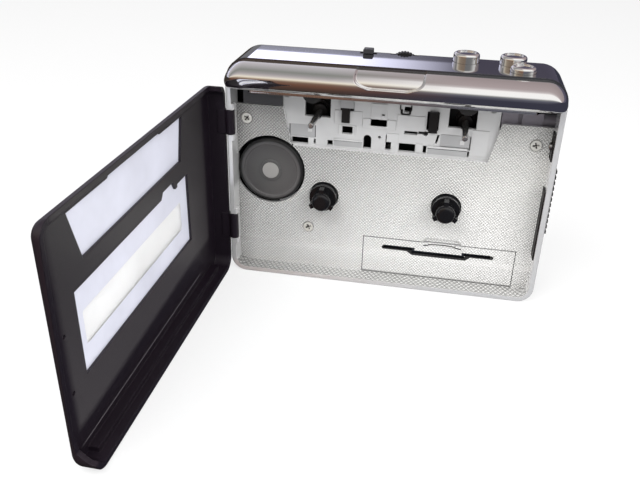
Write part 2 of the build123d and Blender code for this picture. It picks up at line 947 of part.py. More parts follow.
def belt_loop(clearance):
    """Front-view outline of a loop around the two flywheels and the motor pulley."""
    circles = [(x, capstan_height, groove_radius) for x in capstans]
    circles.append((motor_x, motor_z, pulley_groove_radius))
    rings = [Pos(x, z) * Circle(radius + clearance) for x, z, radius in circles]
    edges = [shape.edge() for shape in rings]
    return make_hull(edges)


def drive_belt():
    """Flat rubber belt around the motor pulley and both flywheels."""
    loop = belt_loop(slip + belt_thickness) - belt_loop(slip)
    return slab(loop, belt_plane - belt_width / 2, belt_plane + belt_width / 2)


def motor_can():
    """Flat steel motor with a raised rim and a hole for its shaft."""
    can = disc(motor_x, motor_z, motor_radius, motor_front, chassis_front)
    can = fillet(can.faces().sort_by(Axis.Y)[0].edges(), motor_rounding)
    outer = motor_radius - motor_rim
    inner = motor_cap_radius + motor_boss_gap
    can -= ring(motor_x, motor_z, outer, inner, motor_front - over, motor_front + motor_dish)
    nose_back = chassis_front + motor_nose_length
    can += disc(motor_x, motor_z, motor_nose_radius, chassis_front, nose_back)
    bore_front = chassis_front - motor_bore_depth
    return can - disc(motor_x, motor_z, motor_shaft_radius + slip, bore_front, nose_back + over)


def motor_cap():
    """Round bearing cap in the middle of the motor's face."""
    cap = disc(motor_x, motor_z, motor_cap_radius, motor_front - motor_cap_height, motor_front)
    return fillet(cap.faces().sort_by(Axis.Y)[0].edges(), motor_cap_rounding)


def motor_shaft():
    """Motor shaft, from inside the can to behind its pulley."""
    front = chassis_front - motor_bore_depth + weld
    return disc(motor_x, motor_z, motor_shaft_radius, front, motor_shaft_back)


def motor_pulley():
    """Small flanged pulley on the motor shaft."""
    pulley = disc(motor_x, motor_z, pulley_radius, pulley_front, pulley_back)
    low = belt_plane - groove_width / 2
    high = belt_plane + groove_width / 2
    pulley -= ring(motor_x, motor_z, pulley_radius + over, pulley_groove_radius, low, high)
    return pulley - disc(motor_x, motor_z, motor_shaft_radius, pulley_front - over, pulley_back + over)


def reel_shafts():
    """Fixed pins that the reels turn on."""
    return [disc(x, reel_height, reel_shaft_radius, reel_shaft_front, chassis_back) for x in reels]


def reel_spindle(x):
    """Splined black spindle with its collar, over a fixed pin."""
    hub = disc(x, reel_height, hub_radius, hub_front, collar_front)
    hub = fillet(hub.faces().sort_by(Axis.Y)[0].edges(), hub_rounding)
    for turn in range(spline_count):
        angle = 90 + turn * 360 / spline_count
        spline = Pos(x, reel_height) * Rot(0, 0, angle) * Pos(spline_radius / 2, 0)
        key = spline * Rectangle(spline_radius, spline_width)
        hub += slab(key, hub_front + spline_setback, collar_front)
    collar_back = deck_back + collar_proud
    hub += disc(x, reel_height, collar_radius, collar_front, collar_back)
    hub += disc(x, reel_height, hub_radius, collar_back, turntable_back + hub_tail)
    return hub - disc(x, reel_height, reel_shaft_radius + slip, reel_bore_front, chassis_front)


def reel_turntable(x):
    """Friction disc on the back of a spindle."""
    table = ring(x, reel_height, turntable_radius, hub_radius, turntable_front, turntable_back)
    outer = turntable_radius - turntable_rim
    inner = hub_radius + turntable_boss
    dish_back = turntable_front + turntable_dish
    return table - ring(x, reel_height, outer, inner, turntable_front - over, dish_back)


def idler_arm():
    """Swinging arm with the idler wheel's axle."""
    front = idler_back + running_gap
    back = front + idler_arm_thickness
    arm = panel(-idler_arm_half, idler_arm_half, idler_height, idler_pivot_height)
    arm += Pos(0, idler_height) * Circle(idler_arm_half)
    arm += Pos(0, idler_pivot_height) * Circle(idler_eye_radius)
    body = slab(arm, front, back)
    body += disc(0, idler_pivot_height, idler_boss_radius, back, chassis_front - idler_boss_gap)
    body -= disc(0, idler_pivot_height, reel_shaft_radius + slip, front - over, chassis_front)
    return body + disc(0, idler_height, idler_axle_radius, turntable_front - idler_lip, front)


def idler_pivot():
    """Fixed pin that the idler arm swings on."""
    pin = disc(0, idler_pivot_height, reel_shaft_radius, idler_back, chassis_back)
    return pin + disc(0, idler_pivot_height, idler_boss_radius, idler_back - idler_lip, idler_back)


def idler_wheel():
    """Plastic hub of the idler."""
    return ring(0, idler_height, idler_hub_radius, idler_axle_radius + slip, turntable_front, idler_back)


def idler_tyre():
    """Rubber ring around the idler's hub."""
    return ring(0, idler_height, idler_radius, idler_hub_radius, turntable_front, idler_back)


def head_plate():
    """Sliding steel plate that carries the head and the pinch rollers."""
    back = head_plate_front + head_plate_thickness
    top = head_plate_bottom + head_plate_height
    shape = panel(-head_plate_half, head_plate_half, head_plate_bottom, top, head_plate_corner)
    pad = panel(-head_pad_half, head_pad_half, head_plate_bottom, head_bottom + head_height, head_pad_corner)
    plate = slab(shape, head_plate_front, back)
    return plate + slab(pad, head_plate_front - bracket_sheet, head_plate_front)


def pinch_brackets():
    """Hanging arms and pins for the two pinch rollers."""
    arms = []
    front = head_plate_front - bracket_sheet
    high = head_plate_bottom + roller_arm_reach
    for x in capstans:
        arm = panel(x - roller_arm_half, x + roller_arm_half, roller_height, high)
        arm += Pos(x, roller_height) * Circle(roller_arm_half)
        body = slab(arm, front, head_plate_front)
        arms.append(body + disc(x, roller_height, roller_pin_radius, roller_front - roller_pin_proud, front))
    return arms


def pinch_roller(x):
    """Rubber roller that presses the tape on the capstan."""
    roller = disc(x, roller_height, roller_radius, roller_front, roller_back)
    roller = fillet(roller.edges().filter_by(GeomType.CIRCLE), roller_rounding)
    return roller - disc(x, roller_height, roller_pin_radius + slip, roller_front - over, roller_back + over)


def tape_head():
    """Metal-cased magnetic head with a rounded nose."""
    shape = panel(-head_half_width, head_half_width, head_bottom, head_bottom + head_height)
    shape = fillet(shape.vertices().sort_by(Axis.Y)[:2], head_nose_radius)
    return slab(shape, head_front, head_plate_front - bracket_sheet)


def button_cap(name):
    """Round button with a hollow underside and a rounded top edge."""
    (x, depth), radius, proud = buttons[name]
    top = body_height + proud
    cap = upright(x, depth, radius, button_skirt, top)
    cap = fillet(cap.faces().sort_by(Axis.Z)[-1].edges(), button_rounding)
    cap -= upright(x, depth, radius - button_rim, top - button_dish, top + over)
    stem_low = seat_height - stem_gap
    cap += upright(x, depth, stem_radius, stem_low, button_skirt)
    return cap + upright(x, depth, foot_radius, stem_low - foot_height, stem_low)


def button_spring(name):
    """Return spring around a button's stem."""
    (x, depth), _, _ = buttons[name]
    low = board_face + spring_wire
    height = button_skirt - low - spring_wire - spring_play
    path = Helix(pitch=height / spring_turns, height=height, radius=spring_radius)
    start = path @ 0
    section = Plane(origin=start, z_dir=path % 0) * Circle(spring_wire)
    coil = sweep(section, path=path, is_frenet=True)
    return Pos(x, rim_y + depth, low) * coil


def key_board():
    """Small board under the buttons, on the case's ribs."""
    back = back_inner - board_back_gap
    board = block(key_board_left, key_board_right, key_board_front, back, seat_height, board_face)
    ear_back = key_board_front + weld
    board += block(key_ear_left, key_board_right, key_ear_front, ear_back, seat_height, board_face)
    for (x, depth), _, _ in buttons.values():
        board -= upright(x, depth, stem_radius + stem_gap, seat_height - over, board_face + over)
    return board


def control_board():
    """Small board under the mode switch and the volume control."""
    back = back_inner - board_back_gap
    board = block(rib_left, control_board_right, control_board_front, back, seat_height, board_face)
    half = wheel_radius + running_gap
    front = wheel_front - running_gap
    back = wheel_front + wheel_thickness + running_gap
    return board - block(wheel_x - half, wheel_x + half, front, back, seat_height - over, board_face + over)


def volume_pot():
    """Body of the volume control."""
    high = cap_under - running_gap
    body = block(wheel_x - pot_half, wheel_x + pot_half, pot_front, pot_back, board_face, high)
    return body - disc(wheel_x, wheel_height, wheel_axle_radius + slip, pot_hole_front, pot_back + over)


def volume_wheel():
    """Knurled thumb wheel that shows through the top."""
    back = wheel_front + wheel_thickness
    wheel = disc(wheel_x, wheel_height, wheel_radius, wheel_front, back)
    for turn in range(wheel_notches):
        angle = 2 * pi * turn / wheel_notches
        x = wheel_x + wheel_radius * cos(angle)
        z = wheel_height + wheel_radius * sin(angle)
        wheel -= disc(x, z, notch_radius, wheel_front - over, back + over)
    return wheel + disc(wheel_x, wheel_height, wheel_axle_radius, wheel_axle_front, wheel_front)


def mode_switch():
    """Body of the slide switch, grooved for the knob's stem."""
    high = body_height - switch_drop
    front = slider_depth - switch_depth_half
    back = slider_depth + switch_depth_half
    body = block(slider_x - switch_half, slider_x + switch_half, front, back, board_face, high)
    half = slider_stem_half + slider_travel + knob_gap
    front = slider_depth - switch_slot_half
    back = slider_depth + switch_slot_half
    low = body_height - switch_slot_drop
    return body - block(slider_x - half, slider_x + half, front, back, low, body_height)


def slider_knob():
    """Slide switch knob with its stem."""
    half = knob_width / 2
    low = body_height + knob_gap
    front = slider_depth - knob_depth / 2
    back = slider_depth + knob_depth / 2
    top = block(slider_x - half, slider_x + half, front, back, low, knob_top)
    top = fillet(top.edges().filter_by(Axis.Y).sort_by(Axis.Z)[-2:], knob_rounding)
    front = slider_depth - slider_stem_depth_half
    back = slider_depth + slider_stem_depth_half
    stem_low = body_height - slider_stem_drop
    return top + block(slider_x - slider_stem_half, slider_x + slider_stem_half, front, back, stem_low, low)


def circuit_board():
    """Main board at the socket end, notched around a screw boss."""
    board = block(board_left, inner_half - board_side_gap, board_front, board_back, board_bottom, board_top)
    return board - disc(*screw_points[1], boss_radius + running_gap, board_front - over, board_back + over)


def phone_jack():
    """Headphone socket with its sleeve through the side wall."""
    front = jack_depth - jack_half
    low = jack_height - jack_half
    high = jack_height + jack_half
    body = block(jack_left, jack_right, front, board_front, low, high)
    body += crosswise(jack_depth, jack_height, jack_sleeve_radius, jack_right, half_width)
    groove = block(*jack_groove, front - over, front + jack_groove_depth, low - over, high + over)
    bore_end = jack_left + jack_end_wall
    return body - groove - crosswise(jack_depth, jack_height, jack_bore, bore_end, half_width + over)


def usb_socket():
    """Metal data socket with its tongue."""
    half_deep = usb_size[0] / 2
    half_tall = usb_size[1] / 2
    left = inner_half - usb_length
    right = half_width - socket_setback
    front = usb_depth - half_deep
    back = usb_depth + half_deep
    low = usb_height - half_tall
    high = usb_height + half_tall
    shell = block(left, right, front, back, low, high)
    metal = usb_metal
    shell -= block(left + usb_back, right + over, front + metal, back - metal, low + metal, high - metal)
    front = usb_depth - usb_tongue[0]
    back = usb_depth + usb_tongue[0]
    low = usb_height - usb_tongue[1]
    high = usb_height + usb_tongue[1]
    return shell + block(left, right - usb_tongue_setback, front, back, low, high)


def power_socket():
    """Round power socket with its centre pin."""
    face = inner_half - power_setback
    bore_end = inner_half - power_bore_depth
    back = board_back + 2 * power_rise
    low = power_height - power_half
    body = block(face - power_length, face, board_back, back, low, power_height + power_half)
    body += crosswise(power_depth, power_height, power_sleeve_radius, face, half_width - socket_setback)
    body -= crosswise(power_depth, power_height, power_bore, bore_end, half_width + over)
    pin_end = half_width - power_pin_setback
    return body + crosswise(power_depth, power_height, power_pin_radius, bore_end, pin_end)


def motor_switch():
    """Leaf switch block on the mechanism's left wing."""
    low = floor_top + running_gap
    return block(switch_left, switch_right, floor_back - switch_proud, floor_back, low, low + switch_height)


def side_grip():
    """Ribbed rubber strip on the socket side."""
    strip = block(half_width, half_width + grip_base, grip_front, grip_back, grip_bottom, grip_top)
    ribs = int((grip_top - grip_bottom) / rib_pitch)
    left = half_width + grip_rib_root
    for index in range(ribs):
        low = grip_bottom + (index + 0.25) * rib_pitch
        strip += block(left, half_width + grip_proud, grip_front, grip_back, low, low + rib_pitch / 2)
    return strip


def battery_door():
    """Door in the well floor with its hinge barrel, pins and stepped slot."""
    leaf = slab(panel(door_left, door_right, door_hinge_height, door_top), floor_front, floor_back)
    leaf += crosswise(door_hinge_depth, door_hinge_height, door_barrel_radius, door_left, door_right)
    left = door_left - door_pin_length
    right = door_right + door_pin_length
    leaf += crosswise(door_hinge_depth, door_hinge_height, door_pin_radius, left, right)
    high = door_top - slot_drop
    low = high - slot_step
    slot = panel(*slot_left_arm, high, high + slot_height)
    slot += panel(*slot_middle, low, low + slot_height)
    slot += panel(*slot_right_arm, high, high + slot_height)
    leaf -= slab(slot, floor_front - over, floor_back + over)
    grip = panel(*door_grip, door_top - door_grip_low, door_top + door_grip_high, door_grip_radius)
    return leaf - slab(grip, floor_front - over, floor_front + door_grip_depth)


def battery_cell(left):
    """One AA cell lying along X."""
    body = crosswise(cell_depth, cell_height, cell_radius, left, left + cell_length)
    nub_end = left + cell_length + cell_nub_length
    return body + crosswise(cell_depth, cell_height, cell_nub_radius, left + cell_length, nub_end)


def battery_contacts():
    """Metal plates at the two ends of the cells, and the coil on the left one."""
    plates = []
    for left in (-inner_half, inner_half - contact_thickness):
        right = left + contact_thickness
        plates.append(block(left, right, contact_front, contact_back, contact_low, contact_high))
    return plates + [battery_spring()]


def battery_spring():
    """Coil that presses on the left cell."""
    left = -inner_half + contact_thickness + spring_coil_wire
    length = left_cell_left - left - spring_coil_wire - spring_play
    path = Helix(pitch=length / spring_coil_turns, height=length, radius=spring_coil_radius)
    section = Plane(origin=path @ 0, z_dir=path % 0) * Circle(spring_coil_wire)
    coil = sweep(section, path=path, is_frenet=True)
    return Pos(left, rim_y + cell_depth, cell_height) * Rot(0, 90, 0) * coil


def hinge_pins():
    """Steel pins of the lid hinge."""
    pins = []
    for low, high in knuckle_spans:
        pin_low = low - hinge_lug + hinge_pin_inset
        pin_high = high + hinge_lug - hinge_pin_inset
        pins.append(upright(hinge_x, hinge_depth, hinge_pin_radius, pin_low, pin_high))
    return pins


def closed_lid_shell():
    """Black lid tray in its closed place."""
    shape = outline(0, lid_low, lid_high, bottom_radius, lid_corner)
    outer = slab(shape, -lid_depth, lid_rim)
    front_edges = outer.faces().sort_by(Axis.Y)[0].edges()
    side_edges = front_edges.filter_by(lambda e: e.center().Z < lid_high - slip)
    outer = fillet(side_edges, lid_edge_radius)
    low = lid_low + lid_wall
    inner_front = -lid_depth + lid_wall
    high = lid_high - lid_wall
    inner_shape = outline(lid_wall, low, high, bottom_radius - lid_wall, lid_corner - lid_wall)
    tray = outer - slab(inner_shape, inner_front, over)
    lip_half = half_width - lid_corner
    tray -= block(-lip_half, lip_half, -lid_top_lip, over, lid_high - lid_lip_drop, lid_high + over)
    front = inner_front - ledge_bite
    tray += block(-ledge_half, ledge_half, front, ledge_back, low - ledge_bite, low + ledge_height)
    recess = panel(plate_left, plate_right, plate_low, plate_high, plate_corner)
    tray -= slab(recess, -lid_depth - over, -lid_depth + plate_thickness)
    for opening in lid_openings():
        tray -= slab(opening, -lid_depth, inner_front + over)
    for z in pin_hole_heights:
        tray -= disc(pin_hole_x, z, pin_hole_radius, -lid_depth + plate_thickness + pin_hole_wall, 0)
    for low, high in knuckle_spans:
        arm = block(-half_width, hinge_x + knuckle_arm_half, knuckle_arm_front, hinge_depth, low, high)
        arm += upright(hinge_x, hinge_depth, knuckle_radius, low, high)
        tray += arm
        tray -= upright(hinge_x, hinge_depth, hinge_pin_radius + slip, low - over, high + over)
    return tray


def lid_openings():
    """The two openings in the tray that show the front plate."""
    faces = []
    for points in (upper_opening, lower_opening):
        faces.append(make_face(Polyline(*[(x, lid_high - drop) for x, drop in points], close=True)))
    return faces


def closed_lid_plate():
    """Pale front plate let into the outside of the lid, with a window hole."""
    shape = panel(plate_left, plate_right, plate_low, plate_high, plate_corner)
    shape -= panel(window_left, window_right, window_low, window_high, window_corner)
    return slab(shape, -lid_depth, -lid_depth + plate_thickness)


def closed_lid_window():
    """Clear window in the front plate."""
    shape = panel(window_left, window_right, window_low, window_high, window_corner)
    return slab(shape, -lid_depth, -lid_depth + plate_thickness)


def swing_open(shape):
    """Turn a lid piece from its closed place to the open one about the hinge."""
    axis = Axis((hinge_x, rim_y + hinge_depth, 0), (0, 0, 1))
    return shape.rotate(axis, -lid_open_angle)


def floor_screws():
    """Screws through the well floor: two into the case back, one into the mechanism plate."""
    front = floor_front - screw_head_proud
    screws = [cross_screw(x, z, front, floor_back + screw_length) for x, z in screw_points]
    screws.append(cross_screw(*deck_screw_point, front, deck_screw_tip))
    return screws


def rear_screw_group():
    """Four screws through the case back into the chassis."""
    screws = []
    for x, z in rear_screws:
        head_back = rear_screw_seat + screw_head_height
        screw = disc(x, z, screw_head_radius, rear_screw_seat, head_back)
        screw += disc(x, z, screw_shank_radius, chassis_front, rear_screw_seat)
        half = recess_width / 2
        recess = panel(x - recess_half, x + recess_half, z - half, z + half)
        recess += panel(x - half, x + half, z - recess_half, z + recess_half)
        screws.append(screw - slab(recess, head_back - recess_depth, head_back + over))
    return screws


def save(name, shape):
    """Write one node, one solid or a group of them."""
    if isinstance(shape, list):
        shape = Compound(children=shape)
    export_step(shape, f"parts/{name}.step")


def main():
    """Build and write every piece."""
    os.makedirs("parts", exist_ok=True)
    pieces = {
        "well_frame": well_frame(),
        "well_floor": well_floor(),
        "wall_inserts": wall_inserts(),
        "latch_catch": latch_catch(),
        "rear_shell": rear_shell(),
        "top_band": top_band(),
        "side_grip": side_grip(),
        "deck_plate": deck_plate(),
        "mech_chassis": mech_chassis(),
        "flywheel_bracket": flywheel_bracket(),
        "capstan_bearings": capstan_bearings(),
        "drive_belt": drive_belt(),
        "motor_can": motor_can(),
        "motor_cap": motor_cap(),
        "motor_shaft": motor_shaft(),
        "motor_pulley": motor_pulley(),
        "motor_switch": motor_switch(),
        "reel_shafts": reel_shafts(),
        "idler_arm": idler_arm(),
        "idler_pivot": idler_pivot(),
        "idler_wheel": idler_wheel(),
        "idler_tyre": idler_tyre(),
        "head_plate": head_plate(),
        "pinch_brackets": pinch_brackets(),
        "tape_head": tape_head(),
        "key_board": key_board(),
        "control_board": control_board(),
        "volume_pot": volume_pot(),
        "volume_wheel": volume_wheel(),
        "mode_switch": mode_switch(),
        "slider_knob": slider_knob(),
        "circuit_board": circuit_board(),
        "phone_jack": phone_jack(),
        "usb_socket": usb_socket(),
        "power_socket": power_socket(),
        "battery_door": battery_door(),
        "battery_cells": [battery_cell(left_cell_left), battery_cell(right_cell_left)],
        "battery_contacts": battery_contacts(),
        "hinge_pins": hinge_pins(),
        "floor_screws": floor_screws(),
        "rear_screws": rear_screw_group(),
        "lid_shell": swing_open(closed_lid_shell()),
        "lid_plate": swing_open(closed_lid_plate()),
        "lid_window": swing_open(closed_lid_window()),
    }
    for side, x in (("left", capstans[0]), ("right", capstans[1])):
        pieces[f"capstan_{side}"] = capstan(x)
        pieces[f"flywheel_{side}"] = flywheel(x)
        pieces[f"pinch_roller_{side}"] = pinch_roller(x)
    for side, x in (("left", reels[0]), ("right", reels[1])):
        pieces[f"reel_{side}"] = reel_spindle(x)
        pieces[f"turntable_{side}"] = reel_turntable(x)
    for name in buttons:
        pieces[f"{name}_button"] = button_cap(name)
        pieces[f"{name}_spring"] = button_spring(name)
    for name, shape in pieces.items():
        save(name, shape)


main()
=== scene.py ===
import json
from math import cos, hypot, pi, radians, sin, sqrt

import bmesh
import bpy
from mathutils import Matrix, Vector


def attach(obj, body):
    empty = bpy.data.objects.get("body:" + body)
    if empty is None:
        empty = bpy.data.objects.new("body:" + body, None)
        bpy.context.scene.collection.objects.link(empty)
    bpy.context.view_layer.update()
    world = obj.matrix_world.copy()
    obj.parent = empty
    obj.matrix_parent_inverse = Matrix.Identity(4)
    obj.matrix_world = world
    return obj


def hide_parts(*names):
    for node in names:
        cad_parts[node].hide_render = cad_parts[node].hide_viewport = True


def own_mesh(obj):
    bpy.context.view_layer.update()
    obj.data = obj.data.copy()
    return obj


MM = 0.001

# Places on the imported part, in mm
RIM_Y = -12.25
WELL_FLOOR_Y = -6.15
DECK_Y = -4.65
CAPSTAN_HEIGHT = 59.0
MOTOR_X, MOTOR_Z, MOTOR_RADIUS = -40.3, 38.4, 12.0

# Plated band: section over depth behind the rim, and its ball-like ends
BAND_TOP, BAND_BOTTOM, BAND_HALF = 77.6, 69.2, 53.8
BAND_FRONT, BAND_BACK = -7.7, 1.3
BAND_WALL = 1.0
BAND_MIDDLE_SHARE = 0.53
BAND_LOWER_TURN = 4.55
BAND_TOP_ROUNDING, BAND_BOTTOM_ROUNDING, BAND_FRONT_ROUNDING = 7.0, 1.4, 7.6
BAND_END = 7.5
BAND_OPEN_HALF = 46.2
BAND_LIP_BACK = -3.4
BAND_FRONT_STEPS, BAND_LOWER_STEPS, BAND_LIP_STEPS = 60, 24, 4
BAND_END_STEPS, BAND_RUN_STEPS = 40, 50

# Thumb scoop in the band
SCOOP_CENTRE, SCOOP_HALF, SCOOP_CORNER, SCOOP_SQUEEZE = -0.2, 10.9, 6.0, 2.1
SCOOP_LOW = 73.5
SCOOP_EDGE = 0.6
SCOOP_MIDDLE, SCOOP_RADII = (0.9, 73.2), (6.4, 4.2)
SCOOP_FIRST, SCOOP_STEP, SCOOP_COLUMNS = -11.6, 0.12, 191
RUN_START, RUN_SHIFT = 11.4, 0.2

# Diamond pyramids of the well
KNURL_PITCH, KNURL_WALL_PITCH, KNURL_SLOPE = 1.15, 1.7, 0.62
FOLD_LOW, FOLD_HIGH = 9.3, 10.7

# Battery door: outline, stepped slot and the bow under its finger notch, as x and z
DOOR_LEFT, DOOR_RIGHT, DOOR_TOP = -6.34, 46.64, 16.12
DOOR_LINE_LEFT, DOOR_LINE_RIGHT, DOOR_LINE_TOP = -6.62, 46.92, 16.42
DOOR_SLOT = [(0.95, 12.65), (9.4, 12.65), (11.3, 11.3), (29.6, 11.3), (31.4, 12.75), (38.9, 12.75)]
DOOR_SLOT_HALF = 0.72
DOOR_SLOT_LEFT, DOOR_SLOT_RIGHT, DOOR_SLOT_LOW, DOOR_SLOT_HIGH = -0.5, 39.8, 10.6, 14.2
DOOR_BOW = [(15.0, 15.0), (18.0, 15.35), (22.0, 15.5), (25.0, 15.3), (28.0, 14.9)]
DOOR_BOW_HALF = 0.24

# Screws in the well floor: x, z and turn of each, half sizes of the crossed recess painted dark as shade,
# and the ring of painted shade round the head
FLOOR_SCREWS = [(-26.6, 17.8, 0.5), (47.3, 55.4, 0.3), (-48.5, 56.7, 0.9)]
CROSS_REACH, CROSS_HALF = 1.05, 0.2
SCREW_SHADE_INNER, SCREW_SHADE_OUTER, SCREW_SHADE_SHARE = 1.75, 2.3, 0.6

# Inside of the lid: its floor, the floor's area of painted light from front to back, and the painted
# highlight along the ledge near its bottom
LID_FLOOR_X, LID_WALL_X = -59.5, -58.5
LID_FRONT, LID_BACK = -107.0, -33.0
LID_FIELD_FRONT, LID_FIELD_BACK = -113.0, -18.0
LID_FIELD_LOW_FRONT, LID_FIELD_LOW_BACK, LID_FIELD_TOP, LID_FIELD_SOFT = 11.0, 14.6, 60.0, 1.2
LEDGE_FRONT, LEDGE_BACK, LEDGE_UNDER, LEDGE_OVER = -112.0, -28.0, -0.05, 0.32
LEDGE_RISE_BACK, LEDGE_LOW_FRONT, LEDGE_LOW_BACK = -29.0, 5.4, 5.8

# Lid's free end: x and z of the part of its wall that is cut away, and its y range
LIP_TOP, LIP_INNER_X = 70.0, -50.0
LIP_CURVE = [(-59.9, LIP_TOP), (-61.5, 12.0), (-60.6, 7.5), (-57.5, 4.6), (-53.0, 3.4)]
LIP_CUT = LIP_CURVE + [(LIP_INNER_X, 3.4), (LIP_INNER_X, LIP_TOP)]
LIP_FRONT, LIP_BACK = -119.0, -113.4

# Details on the mechanism plate: left, right, lowest and highest over the capstans, how far they stand out
RAISED = [
    (-18.6, -9.0, -8.1, -7.5, 0.5),
    (13.0, 26.0, -8.0, -7.3, 0.5),
    (-17.1, -16.7, -5.9, -2.7, 0.35),
    (-11.5, -11.1, -5.9, -2.7, 0.35),
    (-16.7, -11.5, -2.9, -2.6, 0.35),
    (-6.4, -1.0, -2.0, 5.6, 0.3),
    (-9.0, 2.0, -3.0, 0.3, 0.3),
    (-18.6, -9.2, -2.2, 2.4, 0.25),
    (2.3, 11.5, -1.6, 2.4, 0.2),
    (-2.8, -1.8, 1.1, 1.9, 0.9),
    (26.9, 32.4, -9.6, -0.8, 0.2),
    (-0.8, 3.2, -7.2, -4.2, 0.2),
    (9.2, 11.2, -9.9, -7.0, 0.35),
    (-27.6, -26.2, -5.9, -4.5, 0.3),
    (23.4, 24.8, -6.1, -4.7, 0.3),
]
# Darker grey plates of painted shade on the mechanism plate: in its two recesses, below its two ledges and
# by the window at its left
SHADE_PLATES = [
    (-34.1, -24.9, -7.8, -3.5, 0.03),
    (16.9, 26.6, -7.1, -3.1, 0.03),
    (-18.6, -9.0, -10.2, -8.35, 0.03),
    (13.0, 26.0, -10.2, -8.35, 0.03),
    (-12.2, -11.9, -0.4, 5.8, 0.03),
    (-16.7, -12.2, 3.6, 6.4, 1.25),
]
# Black marks on the mechanism plate: a black bracket and pins, and painted shade as dark lines under the
# ledges, along the sides of the recesses and inside a window
DARK_MARKS = [
    (-18.7, -9.0, -8.35, -8.1, 0.04),
    (13.0, 26.0, -8.35, -8.0, 0.04),
    (-34.0, -33.75, -7.8, -3.6, 0.04),
    (-25.2, -24.95, -7.8, -3.6, 0.04),
    (26.5, 26.8, -7.8, -3.2, 0.04),
    (2.9, 3.3, 4.2, 5.8, 0.3),
    (6.5, 6.9, 4.2, 5.8, 0.3),
    (3.2, 3.9, 2.9, 4.3, 0.3),
    (6.0, 6.6, 2.9, 4.3, 0.3),
    (3.5, 6.3, 2.6, 3.0, 0.3),
    (-16.7, -12.2, -0.4, 5.8, 0.04),
    (-16.1, -13.4, -1.5, 5.8, 1.2),
    (12.7, 15.6, -2.6, 4.4, 1.2),
    (9.6, 12.7, -3.4, -2.7, 0.05),
    (-2.7, -1.9, 1.9, 2.15, 0.95),
]
DETAIL_SINK = 0.05

# Camera of the photograph and lamps, in metres and watts
CAMERA_PLACE = (0.01801, -0.2335, 0.1353)
CAMERA_YAW, CAMERA_PITCH, CAMERA_ROLL = radians(10.04), radians(28.18), radians(1.45)
CAMERA_LENS, CAMERA_SENSOR = 40.44, 36.0
LAMPS = [("key", (-0.3, -0.45, 0.7), 5.6), ("fill", (0.4, -0.4, 0.5), 3.2)]
LAMP_SIZE, LAMP_TARGET = 0.5, (0.0, 0.0, 0.03)
FLOOR_FRONT, FLOOR_BACK, FLOOR_SIDE, FLOOR_DROP = -0.145, 1.2, 1.2, 0.00002
FLOOR_GLOW = 0.72

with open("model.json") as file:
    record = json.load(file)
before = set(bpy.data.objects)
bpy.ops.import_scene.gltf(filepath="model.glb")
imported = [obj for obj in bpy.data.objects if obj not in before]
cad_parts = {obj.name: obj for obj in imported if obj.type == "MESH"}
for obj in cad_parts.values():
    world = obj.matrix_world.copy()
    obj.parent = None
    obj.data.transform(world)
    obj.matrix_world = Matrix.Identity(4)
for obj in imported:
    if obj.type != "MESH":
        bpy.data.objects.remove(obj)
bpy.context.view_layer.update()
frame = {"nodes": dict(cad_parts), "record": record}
nodes = frame["nodes"]


